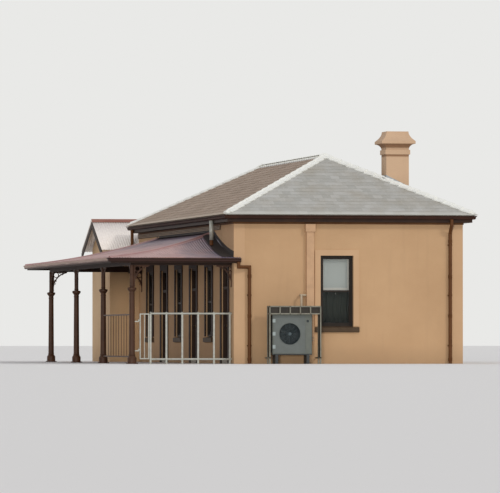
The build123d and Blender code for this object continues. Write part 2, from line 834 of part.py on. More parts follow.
def verandah_plan(side, margin=0, gap=0):
    """Plan of the front or an end of the verandah roof, which meet on hips at 45 degrees."""
    x0 = -sheet_reach - margin
    y0, y1 = sheet_near_y - margin, sheet_far_y + margin
    near_top = (0, sheet_near_y + sheet_reach)
    far_top = (0, sheet_far_y - sheet_reach)
    plans = {
        "front": [(x0, y0), near_top, far_top, (x0, y1)],
        "near": [(x0, y0), (VERANDAH_RETURN, y0), (VERANDAH_RETURN, 0), (0, 0), near_top],
        "far": [(x0, y1), (0, y1), far_top],
    }
    ways = {"front": (-gap, 0), "near": (0, -gap), "far": (0, gap)}
    return Pos(*ways[side], 0) * plan_prism(plans[side])


def front_curve(band, y0, y1):
    """Extrude a curved band along the front."""
    plane = Plane(origin=(-sheet_reach, y1, 0), x_dir=(1, 0, 0), z_dir=(0, -1, 0))
    return extrude(plane * band, amount=y1 - y0)


def near_curve(band, x0, x1):
    plane = Plane(origin=(x0, sheet_near_y, 0), x_dir=(0, 1, 0), z_dir=(1, 0, 0))
    return extrude(plane * band, amount=x1 - x0)


def far_curve(band, x0, x1):
    plane = Plane(origin=(x1, sheet_far_y, 0), x_dir=(0, -1, 0), z_dir=(-1, 0, 0))
    return extrude(plane * band, amount=x1 - x0)


def verandah_sheets():
    """The concave roof: a long front and two hipped ends."""
    band = curved_band(0, SHEET_THICK, 0, sheet_reach)
    return {
        "front": front_curve(band, sheet_near_y, sheet_far_y) & verandah_plan("front"),
        "near": near_curve(band, -sheet_reach, VERANDAH_RETURN) & verandah_plan("near"),
        "far": far_curve(band, -sheet_reach, 0) & verandah_plan("far"),
    }


fascia_depth_in = VERANDAH_REACH - verandah_fascia_reach - SHEET_LAP + FASCIA_THICK


def rafter_places(first, last):
    count = max(1, round((last - first) / RAFTER_PITCH))
    return [first + i * (last - first) / count for i in range(count + 1)]


def verandah_rafters():
    """Curved rafters under the sheets, square to the eave they run down to."""
    low, high = SHEET_THICK, SHEET_THICK + RAFTER_DEPTH
    band = curved_band(low, high, fascia_depth_in, sheet_reach - LEDGER_THICK)
    half = RAFTER_WIDTH / 2
    rafters = []
    front_plan = verandah_plan("front", gap=RAFTER_WIDTH)
    near_plan = verandah_plan("near", gap=RAFTER_WIDTH)
    far_plan = verandah_plan("far", gap=RAFTER_WIDTH)
    inset = VERANDAH_REACH - verandah_fascia_reach + 2 * RAFTER_WIDTH + FASCIA_THICK
    for y in rafter_places(sheet_near_y + inset, sheet_far_y - inset):
        rafters.append(front_curve(band, y - half, y + half) & front_plan)
    for x in rafter_places(-sheet_reach + inset, -inset):
        rafters.append(near_curve(band, x - half, x + half) & near_plan)
        rafters.append(far_curve(band, x - half, x + half) & far_plan)
    return [solid for rafter in rafters for solid in rafter.solids()]


def verandah_ledger():
    top = sheet_z(sheet_reach - LEDGER_THICK) - SHEET_THICK
    y0 = sheet_near_y + sheet_reach
    y1 = sheet_far_y - sheet_reach
    return block(-LEDGER_THICK, 0, y0, y1, top - LEDGER_HEIGHT, top)


verandah_fascia_top = sheet_z(0) - SHEET_THICK


def eave_u(out0, out1, z0, z1):
    """A strip round the three open sides of the verandah."""
    shift = VERANDAH_REACH
    outer = block(
        -out1, VERANDAH_RETURN, VERANDAH_NEAR_Y + shift - out1, verandah_far_y - shift + out1, z0, z1
    )
    inner = block(
        -out0, VERANDAH_RETURN + 1, VERANDAH_NEAR_Y + shift - out0,
        verandah_far_y - shift + out0, z0 - 1, z1 + 1,
    )
    far_y = verandah_far_y + MITRE_MARGIN
    past_wall = block(0, VERANDAH_RETURN + 1, WALL_THICK, far_y, z0 - 1, z1 + 1)
    return outer - inner - past_wall


def in_three(strip):
    sides = ("front", "near", "far")
    return [strip & verandah_plan(side, margin=MITRE_MARGIN, gap=HALF_SLIT) for side in sides]


def verandah_fascias():
    z0 = verandah_fascia_top - VERANDAH_FASCIA_HEIGHT
    out = verandah_fascia_reach
    return in_three(eave_u(out - FASCIA_THICK, out, z0, verandah_fascia_top))


def verandah_gutters():
    """Three lengths of ogee gutter, mitred at the two outer corners."""
    section = gutter_section()
    top = verandah_fascia_top
    reach = VERANDAH_REACH
    inset = GUTTER_WIDTH
    y0 = VERANDAH_NEAR_Y + inset
    y1 = verandah_far_y - inset
    near_plane = Plane(origin=(VERANDAH_RETURN, y0, top), x_dir=(0, -1, 0), z_dir=(-1, 0, 0))
    front_plane = Plane(
        origin=(-verandah_fascia_reach, VERANDAH_NEAR_Y, top), x_dir=(-1, 0, 0), z_dir=(0, 1, 0)
    )
    far_plane = Plane(origin=(-reach, y1, top), x_dir=(0, 1, 0), z_dir=(1, 0, 0))
    near = extrude(near_plane * section, amount=reach + VERANDAH_RETURN)
    front = extrude(front_plane * section, amount=verandah_far_y - VERANDAH_NEAR_Y)
    far = extrude(far_plane * section, amount=reach)
    return [
        near & verandah_plan("near", margin=MITRE_MARGIN, gap=HALF_SLIT),
        front & verandah_plan("front", margin=MITRE_MARGIN, gap=HALF_SLIT),
        far & verandah_plan("far", margin=MITRE_MARGIN, gap=HALF_SLIT),
    ]


beam_top = sheet_z(POST_INSET - SHEET_LAP - BEAM_WIDTH / 2) - SHEET_THICK - RAFTER_DEPTH
beam_bottom = beam_top - BEAM_DEPTH


def verandah_beams():
    """The front beam on the posts, and a beam from each corner post back to the wall."""
    half = BEAM_WIDTH / 2
    front = block(
        POST_X - half, POST_X + half, post_ys[0] - half, post_ys[-1] + half, beam_bottom, beam_top
    )
    ends = [
        block(POST_X + half + HALF_SLIT, 0, y - half, y + half, beam_bottom, beam_top)
        for y in (post_ys[0], post_ys[-1])
    ]
    return [front] + ends


def post():
    """A cast column: splayed base, tapered shaft, ring capital and a thinner shaft above it."""
    neck = CAPITAL_Z + CAPITAL_HEIGHT
    ring_z = CAPITAL_Z + CAPITAL_HEIGHT / 2
    profile = face_of([
        (0, 0), (BASE_RADIUS, 0), (BASE_RADIUS, BASE_HEIGHT * 0.7), (SHAFT_RADIUS, BASE_HEIGHT),
        (SHAFT_TOP_RADIUS, CAPITAL_Z), (CAPITAL_RADIUS, ring_z),
        (CAPITAL_RADIUS, neck - CAPITAL_HEIGHT / 6), (UPPER_RADIUS, neck),
        (UPPER_RADIUS, beam_bottom), (0, beam_bottom),
    ])
    return revolve(Plane.XZ * profile, Axis.Z, 360)


def verandah_posts():
    return [Pos(POST_X, y, 0) * post() for y in post_ys]


def bracket_face():
    """A pierced bracket: bars along the beam and post, a curved bar between, a ring in the eye."""
    reach, drop, bar = BRACKET_REACH, BRACKET_DROP, BRACKET_BAR
    whole = make_face([
        Line((0, 0), (reach, 0)),
        Line((reach, 0), (reach, -bar)),
        ThreePointArc((reach, -bar), (reach * 0.36, -drop * 0.30), (bar, -drop)),
        Line((bar, -drop), (0, -drop)),
        Line((0, -drop), (0, 0)),
    ])
    middle = bar + RING_RADIUS
    ring = Pos(middle, -middle) * (Circle(RING_RADIUS + RING_BAR) - Circle(RING_RADIUS))
    return whole - offset(whole, amount=-bar) + (ring & whole)


def bracket(turn):
    """A bracket turned about a post's axis, its arm pointing along +X before the turn."""
    plate = along_y(bracket_face(), -BRACKET_THICK / 2, BRACKET_THICK / 2)
    return Rot(0, 0, turn) * Pos(UPPER_RADIUS - 2, 0, beam_bottom) * plate


def verandah_brackets():
    """A bracket on each side of a post under its beam, and one at the wall for each end beam."""
    trim = Cylinder(UPPER_RADIUS, TALL)
    rings = Cylinder(CAPITAL_RADIUS, 2 * (CAPITAL_Z + CAPITAL_HEIGHT))
    brackets = []
    for i, y in enumerate(post_ys):
        turns = []
        if i < POST_COUNT - 1:
            turns.append(90)
        if i > 0:
            turns.append(-90)
        if i in (0, POST_COUNT - 1):
            turns.append(0)
        for turn in turns:
            brackets.append(Pos(POST_X, y, 0) * (bracket(turn) - trim - rings))
    at_wall = Rot(0, 0, 180) * Pos(0, 0, beam_bottom) * along_y(
        bracket_face(), -BRACKET_THICK / 2, BRACKET_THICK / 2
    )
    for y in (post_ys[0], post_ys[-1]):
        brackets.append(Pos(0, y, 0) * at_wall)
    return brackets


# Railings

def end_railing():
    """The railing across the near end of the verandah, its tube rails let into the wall's face."""
    y = post_ys[0]
    x1 = -END_RAIL_WALL_GAP
    x0 = x1 - END_RAIL_LENGTH
    step = END_RAIL_LENGTH / (END_RAIL_POSTS - 1)
    side = RAIL_POST_SIDE / 2
    bars = []
    for i in range(END_RAIL_POSTS):
        x = x0 + i * step
        bars.append(block(x - side, x + side, y - side, y + side, 0, RAIL_TOP_Z))
    for z in (RAIL_TOP_Z, RAIL_BOTTOM_Z):
        bars.append(rod((x0, y, z), (0, y, z), RAIL_RADIUS))
    return fuse(bars)


gate_pin_x = POST_X + BASE_RADIUS + 2 * GATE_BAR
gate_x0 = gate_pin_x + GATE_BAR
gate_x1 = -END_RAIL_WALL_GAP - END_RAIL_LENGTH - RAIL_RADIUS - GATE_GAP
gate_pin_zs = (RAIL_BOTTOM_Z + 230, RAIL_TOP_Z - 220)


def gate():
    """A narrow tube gate that fills the last half bay, with an eye over each hinge pin."""
    y = post_ys[0]
    bar, half = GATE_BAR, GATE_BAR / 2
    z0, z1 = RAIL_BOTTOM_Z, RAIL_TOP_Z
    outside = block(gate_x0, gate_x1, y - half, y + half, z0, z1)
    inside = block(gate_x0 + bar, gate_x1 - bar, y - bar, y + bar, z0 + bar, z1 - bar)
    middle = (gate_x0 + gate_x1) / 2
    leaf = outside - inside + block(middle - 9, middle + 9, y - 9, y + 9, z0, z1)
    for z in gate_pin_zs:
        foot = z + half + PIN_CLEARANCE
        eye = rod((gate_pin_x, y, foot), (gate_pin_x, y, foot + GATE_EYE), half)
        lug = block(gate_pin_x, gate_x0 + 1, y - 6, y + 6, foot, foot + GATE_EYE)
        bore = rod(
            (gate_pin_x, y, z), (gate_pin_x, y, z + 3 * GATE_EYE), HINGE_PIN_RADIUS + PIN_CLEARANCE
        )
        leaf = leaf + (eye + lug - bore)
    return leaf


def gate_hangers():
    """An arm from the corner post to each hinge pin of the gate."""
    y = post_ys[0]
    half = GATE_BAR / 2
    hangers = []
    for z in gate_pin_zs:
        arm = block(POST_X, gate_pin_x, y - 10, y + 10, z - half, z + half)
        boss = rod((gate_pin_x, y, z - half), (gate_pin_x, y, z + half), half)
        pin = rod((gate_pin_x, y, z), (gate_pin_x, y, z + half + GATE_EYE + 8), HINGE_PIN_RADIUS)
        hangers.append(arm + boss + pin - Pos(POST_X, y, 0) * post())
    return hangers


def platform_railing():
    """The barred railing along the platform between the two nearest posts."""
    y0 = post_ys[0]
    y1 = post_ys[1]
    half = PLATFORM_RAIL_BAR / 2
    bars = [
        block(POST_X - half, POST_X + half, y0, y1, z - half, z + half)
        for z in (PLATFORM_RAIL_TOP_Z, PLATFORM_RAIL_BOTTOM_Z)
    ]
    count = round((y1 - y0 - 4 * BASE_RADIUS) / BALUSTER_PITCH)
    step = (y1 - y0) / (count + 3)
    side = BALUSTER_SIDE / 2
    for i in range(2, count + 2):
        y = y0 + i * step
        bars.append(block(
            POST_X - side, POST_X + side, y - side, y + side,
            PLATFORM_RAIL_BOTTOM_Z, PLATFORM_RAIL_TOP_Z,
        ))
    rail = fuse(bars)
    for y in (y0, y1):
        rail = rail - Pos(POST_X, y, 0) * post()
    return rail


# Wing

wing_mid_y = (wing_y0 + wing_y1) / 2
wing_half = WING_LENGTH / 2 + WING_OVERHANG
wing_roof_vertical = WING_ROOF_THICK / math.cos(math.radians(WING_PITCH))
wing_ridge_z = WING_EAVE_Z + wing_half * wing_slope


def wing_under(y):
    """Height of the underside of the wing's roof."""
    return wing_ridge_z - wing_roof_vertical - abs(y - wing_mid_y) * wing_slope


def wing_gable_walls():
    """The two gabled walls, facing the platform and the road."""
    profile = face_of([
        (wing_y0, 0), (wing_y1, 0), (wing_y1, wing_under(wing_y1)),
        (wing_mid_y, wing_under(wing_mid_y)), (wing_y0, wing_under(wing_y0)),
    ])
    return [
        along_x(profile, wing_x0, wing_x0 + WING_WALL_THICK),
        along_x(profile, wing_x1 - WING_WALL_THICK, wing_x1),
    ]


def wing_side_walls():
    """The far wall of the wing, and the short length of near wall in front of the main block."""
    x0 = wing_x0 + WING_WALL_THICK
    x1 = wing_x1 - WING_WALL_THICK
    y0 = wing_y1 - WING_WALL_THICK
    far = block(x0, x1, y0, wing_y1, 0, wing_under(wing_y1))
    near = block(x0, 0, wing_y0, wing_y0 + WING_WALL_THICK, 0, wing_under(wing_y0))
    return [far, near]


def wing_floor():
    x0 = wing_x0 + WING_WALL_THICK
    x1 = wing_x1 - WING_WALL_THICK
    y1 = wing_y1 - WING_WALL_THICK
    way = block(*inner_door_xs, BLOCK_LENGTH - WALL_THICK, BLOCK_LENGTH + 1, 0, FLOOR_TOP)
    slab = block(x0, x1, wing_y0, y1, 0, FLOOR_TOP) + way
    return slab - block(x0 - 1, 0, wing_y0 - 1, wing_y0 + WING_WALL_THICK, -1, FLOOR_TOP + 1)


def wing_roof_slope(way):
    """One slope of the wing's roof: way is -1 for the near slope and +1 for the far one."""
    y_edge = wing_mid_y + way * wing_half
    profile = face_of([
        (wing_mid_y, wing_ridge_z), (y_edge, WING_EAVE_Z),
        (y_edge, WING_EAVE_Z - wing_roof_vertical), (wing_mid_y, wing_ridge_z - wing_roof_vertical),
    ])
    slab = along_x(profile, wing_x0 - WING_VERGE, wing_x1 + WING_VERGE)
    return slab - block(0, BLOCK_WIDTH, 0, BLOCK_LENGTH, 0, TALL)


def wing_ridge_cap():
    """A bent cap over the ridge of the wing."""
    half = WING_RIDGE_REACH
    drop = half * wing_slope
    thick = WING_RIDGE_THICK
    profile = face_of([
        (wing_mid_y - half, wing_ridge_z - drop), (wing_mid_y, wing_ridge_z),
        (wing_mid_y + half, wing_ridge_z - drop), (wing_mid_y + half, wing_ridge_z - drop + thick),
        (wing_mid_y, wing_ridge_z + thick), (wing_mid_y - half, wing_ridge_z - drop + thick),
    ])
    return along_x(profile, wing_x0 - WING_VERGE, wing_x1 + WING_VERGE)


def wing_bargeboards():
    """A pair of boards under the roof's edge at each gable, joined at the top."""
    def pair(x0):
        z_top = wing_ridge_z - wing_roof_vertical
        z_edge = WING_EAVE_Z - wing_roof_vertical
        y0, y1 = wing_mid_y - wing_half, wing_mid_y + wing_half
        profile = face_of([
            (y0, z_edge), (wing_mid_y, z_top), (y1, z_edge), (y1, z_edge - BARGE_HEIGHT),
            (wing_mid_y, z_top - BARGE_HEIGHT), (y0, z_edge - BARGE_HEIGHT),
        ])
        return along_x(profile, x0, x0 + BARGE_THICK)
    return [pair(wing_x0 - WING_VERGE), pair(wing_x1 + WING_VERGE - BARGE_THICK)]


# Pipes on the walls

def pipe_path(points, radius):
    """A round pipe along straight runs, mitred where they meet."""
    path = Polyline(*points)
    start = Plane(origin=path @ 0, z_dir=path % 0)
    return sweep(start * Circle(radius), path=path, transition=Transition.RIGHT)


def main_downpipe():
    """From the near gutter, back under the soffit and down the near wall."""
    x = BLOCK_WIDTH - ROAD_PIPE_INSET
    gutter_y = -fascia_out - GUTTER_WIDTH * 0.45
    top = gutter_top - GUTTER_HEIGHT
    turn = soffit_z - PIPE_CLEAR
    foot = turn - PIPE_SWAN_DROP
    wall_y = -PIPE_STAND_OFF
    return pipe_path(
        [(x, gutter_y, top), (x, gutter_y, turn), (x, wall_y, foot), (x, wall_y, 0)], PIPE_RADIUS
    )


def verandah_downpipe():
    """From the end of the verandah gutter, across the near wall and down it."""
    top = verandah_fascia_top - GUTTER_HEIGHT
    turn = top - VERANDAH_PIPE_DROP
    gutter_y = VERANDAH_NEAR_Y + GUTTER_WIDTH * 0.55
    x = VERANDAH_RETURN - PIPE_CLEAR
    wall_x, wall_y = VERANDAH_PIPE_X, -PIPE_STAND_OFF
    return pipe_path(
        [(x, gutter_y, top), (x, gutter_y, turn), (wall_x, wall_y, turn), (wall_x, wall_y, 0)],
        PIPE_RADIUS,
    )


def spreader(y, radius):
    """A short pipe from the main gutter down to just over the verandah roof."""
    x = -fascia_out - GUTTER_WIDTH * 0.45
    inward = (sheet_reach + x, y - sheet_near_y, sheet_far_y - y)
    foot = sheet_z(min(inward) + radius) + radius / 4
    return rod((x, y, gutter_top - GUTTER_HEIGHT), (x, y, foot), radius)


def pipe_clips():
    """Cradles that hold the two tall pipes off the near wall."""
    clips = []
    half = CLIP_HEIGHT / 2
    for x, count in ((BLOCK_WIDTH - ROAD_PIPE_INSET, 3), (VERANDAH_PIPE_X, 2)):
        core = Pos(x, -PIPE_STAND_OFF, 0) * Cylinder(PIPE_RADIUS, TALL)
        for i in range(count):
            z = CLIP_FIRST_Z + i * CLIP_PITCH
            back = block(x - CLIP_REACH, x + CLIP_REACH, -PIPE_STAND_OFF, 0, z - half, z + half)
            clips.append(back - core)
    return clips


# Cooling unit

unit_x0 = UNIT_X - UNIT_WIDTH / 2
unit_x1 = UNIT_X + UNIT_WIDTH / 2
unit_y1 = -UNIT_GAP
unit_y0 = unit_y1 - UNIT_DEPTH
unit_top = UNIT_FEET + UNIT_HEIGHT
fan_x = UNIT_X - FAN_OFFSET


def unit_casing():
    """A sheet metal box with rounded edges and a deep round fan opening in its face."""
    body = block(unit_x0, unit_x1, unit_y0, unit_y1, UNIT_FEET, unit_top)
    body = fillet(body.edges().filter_by(Axis.Z), UNIT_CORNER)
    centre = Plane(origin=(fan_x, unit_y0 - 1, FAN_Z), z_dir=(0, 1, 0))
    well = extrude(centre * Circle(FAN_RADIUS), amount=UNIT_DEPTH - UNIT_SHELL)
    return body - well


def fan_grille():
    """Rings and spokes of wire over the fan opening."""
    face = Circle(FAN_RADIUS) - Circle(FAN_RADIUS - GRILLE_BAR)
    for i in range(1, GRILLE_RINGS):
        radius = FAN_RADIUS * i / GRILLE_RINGS
        face = face + (Circle(radius + GRILLE_BAR / 2) - Circle(radius - GRILLE_BAR / 2))
    spokes = fuse([
        Rot(0, 0, i * 180 / GRILLE_SPOKES) * Rectangle(2 * FAN_RADIUS - GRILLE_BAR, GRILLE_BAR)
        for i in range(GRILLE_SPOKES)
    ])
    plane = Plane(origin=(fan_x, unit_y0, FAN_Z), z_dir=(0, 1, 0))
    return extrude(plane * (face + spokes), amount=GRILLE_BAR)


def fan_hub():
    """The motor in the well, with three blades on it."""
    y1 = unit_y0 - 1 + UNIT_DEPTH - UNIT_SHELL
    back = Plane(origin=(fan_x, y1, FAN_Z), z_dir=(0, -1, 0))
    hub = extrude(back * Circle(HUB_RADIUS), amount=HUB_LENGTH)
    length = FAN_RADIUS * 0.66
    blade_face = face_of([
        (0, -BLADE_WIDTH / 3), (length, -BLADE_WIDTH / 2), (length, BLADE_WIDTH / 2),
        (0, BLADE_WIDTH / 3),
    ])
    blade = Pos(HUB_RADIUS * 0.8, 0, 0) * Rot(BLADE_TWIST, 0, 0) * extrude(blade_face, amount=6)
    place = Location(back) * Pos(0, 0, HUB_LENGTH * 0.75)
    return hub + fuse([place * Rot(0, 0, 120 * i) * blade for i in range(3)])


def unit_feet():
    feet = []
    for x in (unit_x0 + 120, unit_x1 - 120):
        feet.append(block(x - 40, x + 40, unit_y0 - 20, unit_y1 + 20, 0, UNIT_FEET))
    return feet


def pipe_trunking():
    """The cover over the pipes, with a wider box under the eaves."""
    half = TRUNK_WIDTH / 2
    cover = block(TRUNK_X - half, TRUNK_X + half, -TRUNK_DEPTH, 0, TRUNK_BOTTOM, TRUNK_HEAD_Z)
    cover = fillet(cover.edges().filter_by(Axis.Z).sort_by(Axis.Y)[:2], 18)
    top = soffit_z - FRIEZE_HEIGHT
    half = TRUNK_HEAD_WIDTH / 2
    head = block(TRUNK_X - half, TRUNK_X + half, -TRUNK_HEAD_DEPTH, 0, TRUNK_HEAD_Z, top)
    head = fillet(head.edges().filter_by(Axis.Z).sort_by(Axis.Y)[:2], 18)
    return cover + head


def unit_pipes():
    """Two wrapped pipes from the unit's side back into the trunking, and one from its top."""
    y = unit_y1 - UNIT_PIPE_INSET
    x = unit_x1 + UNIT_PIPE_REACH
    pipes = [
        pipe_path([(unit_x1, y, z), (x, y, z), (x, -TRUNK_DEPTH, z)], UNIT_PIPE_RADIUS)
        for z in UNIT_PIPE_ZS
    ]
    top_y = unit_y1 - 3 * UNIT_PIPE_RADIUS
    wall_y = -TRUNK_DEPTH / 2
    trunk_x = TRUNK_X - TRUNK_WIDTH / 2
    pipes.append(pipe_path(
        [
            (LOOP_X, top_y, unit_top), (LOOP_X, top_y, LOOP_TOP), (LOOP_X, wall_y, LOOP_TOP),
            (trunk_x, wall_y, LOOP_TOP),
        ],
        2 * UNIT_PIPE_RADIUS,
    ))
    return pipes


def unit_guard():
    """A steel frame round the unit, with sheet sides and top and an open front.

    It stands off the wall, clear of the window's sill, and its lowest bars run back to the wall.
    """
    x0, x1 = GUARD_X - GUARD_WIDTH / 2, GUARD_X + GUARD_WIDTH / 2
    y0, bar, top = -GUARD_DEPTH, GUARD_BAR, GUARD_HEIGHT
    pieces = []
    y1 = -GUARD_GAP
    for x in (x0, x1 - bar):
        pieces.append(block(x, x + bar, y0, y0 + bar, 0, top))
        pieces.append(block(x, x + bar, y1 - bar, y1, 0, top))
        pieces.append(block(x, x + bar, y0, 0, GUARD_FOOT, GUARD_FOOT + bar))
        for z in (top - GUARD_BAND - bar, top - bar):
            pieces.append(block(x, x + bar, y0, y1, z, z + bar))
    for z in (top - GUARD_BAND - bar, top - bar):
        pieces.append(block(x0, x1, y0, y0 + bar, z, z + bar))
    step = (x1 - x0 - bar) / (GUARD_STRUTS + 1)
    for i in range(1, GUARD_STRUTS + 1):
        x = x0 + i * step
        pieces.append(block(x, x + bar, y0, y0 + bar, top - GUARD_BAND - bar, top))
    pieces.append(block(x0, x1, y0, y0 + GUARD_TOP_DEPTH, top - GUARD_SHEET, top))
    inset = (bar - GUARD_SHEET) / 2
    for x in (x0 + inset, x1 - inset - GUARD_SHEET):
        pieces.append(block(x, x + GUARD_SHEET, y0 + 1, y1 - 1, GUARD_FOOT + 1, top - 1))
    return fuse(pieces)


def build():
    slopes = roof_slopes()
    sheets = verandah_sheets()
    pieces = {
        "near_wall": near_wall(),
        "far_wall": far_wall(),
        "platform_wall": platform_wall(),
        "door_lintels": door_lintels(),
        "road_wall": road_wall(),
        "floor": floor(),
        "ceiling": ceiling(),
        "roof_slope_near": slopes["near"],
        "roof_slope_road": slopes["road"],
        "roof_slope_far": slopes["far"],
        "roof_slope_platform": slopes["platform"],
        "roof_cappings": roof_cappings(),
        "eave_fascias": eave_fascias(),
        "eave_soffits": eave_soffits(),
        "eave_friezes": eave_friezes(),
        "main_gutters": main_gutters(),
        "chimney_shaft": chimney_shaft(),
        "chimney_cornice": chimney_cornice(),
        "window_frames": at_windows([window_frame()], PLATFORM_WINDOW_SHIFT),
        "window_sashes": at_windows([upper_sash(), lower_sash()], PLATFORM_WINDOW_SHIFT),
        "window_panes": at_windows(panes(), PLATFORM_WINDOW_SHIFT),
        "window_blinds": at_windows([blind()], PLATFORM_WINDOW_SHIFT),
        "window_sills": at_windows([window_sill()]),
        "window_bands": at_windows([window_band()]),
        "door_jambs": [Pos(0, y, 0) * jamb for y in door_ys for jamb in door_jambs()],
        "door_heads": [Pos(0, y, 0) * head for y in door_ys for head in door_heads()],
        "door_transom_panes": [Pos(0, y, 0) * transom_pane() for y in door_ys],
        "verandah_roof_front": sheets["front"],
        "verandah_roof_near_end": sheets["near"],
        "verandah_roof_far_end": sheets["far"],
        "verandah_rafters": verandah_rafters(),
        "verandah_ledger": verandah_ledger(),
        "verandah_fascias": verandah_fascias(),
        "verandah_gutters": verandah_gutters(),
        "verandah_beams": verandah_beams(),
        "verandah_posts": verandah_posts(),
        "verandah_brackets": verandah_brackets(),
        "end_railing": end_railing(),
        "end_gate": gate(),
        "gate_hangers": gate_hangers(),
        "platform_railing": platform_railing(),
        "wing_gable_walls": wing_gable_walls(),
        "wing_side_walls": wing_side_walls(),
        "wing_floor": wing_floor(),
        "wing_roof_near_slope": wing_roof_slope(-1),
        "wing_roof_far_slope": wing_roof_slope(1),
        "wing_ridge_cap": wing_ridge_cap(),
        "wing_bargeboards": wing_bargeboards(),
        "downpipes": [
            main_downpipe(), verandah_downpipe(),
            spreader(SPREADER_Y, SPREADER_RADIUS),
            spreader(verandah_far_y - FAR_SPREADER_GAP, PIPE_RADIUS),
        ],
        "pipe_clips": pipe_clips(),
        "unit_casing": unit_casing(),
        "unit_fan_grille": fan_grille(),
        "unit_fan": fan_hub(),
        "unit_feet": unit_feet(),
        "unit_pipes": unit_pipes(),
        "unit_guard": unit_guard(),
        "pipe_trunking": pipe_trunking(),
    }
    for number, y in enumerate(door_ys, start=1):
        pieces[f"platform_door_{number}"] = Pos(0, y, 0) * door_leaf()
    return pieces


def solids_of(piece):
    """The solids of a piece, which may be a shape or a list of shapes."""
    parts = piece if isinstance(piece, list) else [piece]
    return [solid for part in parts for solid in part.solids()]


def main():
    os.makedirs("parts", exist_ok=True)
    pieces = {name: solids_of(piece) for name, piece in build().items()}
    boxes = [solid.bounding_box() for solids in pieces.values() for solid in solids]
    middle_x = (min(box.min.X for box in boxes) + max(box.max.X for box in boxes)) / 2
    middle_y = (min(box.min.Y for box in boxes) + max(box.max.Y for box in boxes)) / 2
    home = Pos(-middle_x, -middle_y, 0)
    for name, solids in pieces.items():
        moved = [home * solid for solid in solids]
        shape = moved[0] if len(moved) == 1 else Compound(moved)
        export_step(shape, f"parts/{name}.step")
    print(f"moved by {-middle_x:.2f} {-middle_y:.2f}")


main()
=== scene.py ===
import math
from contextlib import contextmanager

import bmesh
import bpy
from mathutils import Matrix, Vector


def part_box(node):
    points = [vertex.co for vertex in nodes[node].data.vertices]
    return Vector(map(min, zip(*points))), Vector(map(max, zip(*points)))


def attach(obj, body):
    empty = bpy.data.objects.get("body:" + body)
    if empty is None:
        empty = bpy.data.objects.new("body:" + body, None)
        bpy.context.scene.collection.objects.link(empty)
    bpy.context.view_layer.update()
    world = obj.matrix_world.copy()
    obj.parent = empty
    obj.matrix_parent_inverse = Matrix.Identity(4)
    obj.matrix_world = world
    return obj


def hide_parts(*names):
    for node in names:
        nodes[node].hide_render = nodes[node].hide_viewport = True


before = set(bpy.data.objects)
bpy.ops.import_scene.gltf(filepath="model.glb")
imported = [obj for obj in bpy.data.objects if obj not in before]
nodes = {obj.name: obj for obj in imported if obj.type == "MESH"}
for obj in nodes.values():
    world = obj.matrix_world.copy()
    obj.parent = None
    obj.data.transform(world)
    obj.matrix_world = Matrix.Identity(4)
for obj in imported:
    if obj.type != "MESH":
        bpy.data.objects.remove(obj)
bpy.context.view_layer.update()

# Sizes in metres and turns in radians. Places are measured from the frame's boxes.
ROOF_PITCH = math.radians(26)
SLATE_WIDTH = 0.25
SLATE_GAUGE = 0.21
SLATE_THICK = 0.006
SLATE_JOINT = 0.003
SLATE_STRAY = 0.004
SLATE_TWIST = (0.004, 0.006, 0.006)
SLATE_LENGTH_IN_GAUGES = 1.9
SLATE_TILT_IN_THICKNESSES = 1.15
TILE_PITCH = 0.31
TILE_LENGTH = 0.37
TILE_LEAF = 0.14
SHEET_SAG = 0.105
SHEET_THICK = 0.02
RIB_PITCH = 0.076
RIB_DEPTH = 0.017
IRON_THICK = 0.003
RIB_STEPS = 8
RIBS_PER_SCREW = 3
BRACKET_SPACING = 0.9
WIRE_SPACING = 0.019
WIRE_RADIUS = 0.0024
CORNER_BAND_WIDTH = 0.31
CORNER_BAND_THICK = 0.01
ARCHITRAVE_WIDTH = 0.165
ARCHITRAVE_THICK = 0.034
WINDOW_WIDTH = 0.93
WINDOW_HEIGHT = 1.96
WINDOW_SILL_Z = 1.04
WINDOW_SETBACK = 0.095
WINDOW_FRAME_DEPTH = 0.12
WINDOW_FRAME_FACE = 0.045
PANE_HALF = WINDOW_WIDTH / 2 - WINDOW_FRAME_FACE
PANE_TOP = WINDOW_HEIGHT - WINDOW_FRAME_FACE
PLATFORM_WINDOW_SHIFT = 0.065
NEAR_WINDOW_X = 2.915
FIRST_OPENING_Y = 1.28
LAST_OPENING_GAP = 2.07
OPENING_COUNT = 6
DOOR_OPENING_WIDTH = 0.98
DOOR_OPENING_TOP = 2.72
KNOB_HEIGHT = 1.06
ROAD_PIPE_INSET = 0.378
VERANDAH_PIPE_X = 0.43
SPREADER_Y = 1.9
GUTTER_WIDTH = 0.112
PIPE_STANDOFF = 0.069
RAILING_BAYS = 5
GUARD_BAR = 0.036
GUARD_BAND = 0.2
GUARD_GAP = 0.3
GUARD_FOOT = 0.15
GUARD_STRUTS = 4
GUARD_TOP_DEPTH = 0.3
POST_COUNT = 4
POST_HALF = 0.125
POST_FLANGE_HALF = 0.15
SCREW_LINES = (0.16, 0.95, 1.75, 2.55, 3.3)
COLLAR_HEIGHTS = (0.12, 1.32, 2.42, 3.4)
EAVE_BOARD_SETBACK = 1.95
BATTEN_COUNT = 3
# How far out from the wall the iron's painted shade and sky reflection reach.
SHADE_AND_SKY_REACH = 1.9
CLIP_HEIGHTS = (0.42, 0.78, 1.14)
SIDE_PANEL_TOP = 1.08
PLATE_MARGIN = 0.035
PLATE_FOOT = 0.04
PLATE_PROUD = 0.006
PLATE_SHORT = 0.02
PLATE_DROP = 0.05
FAN_SIDES = 48
FAN_WELL_DEPTH = 0.335
FIN_SPACING = 0.012

# Folds of a curtain, as depth, radians per metre and start.
CURTAIN_FOLDS = ((0.016, 38, 0), (0.009, 71, 1))

# Round caps on the cooling unit's face, as height and radius.
UNIT_CAPS = ((1.18, 0.036), (0.69, 0.02))

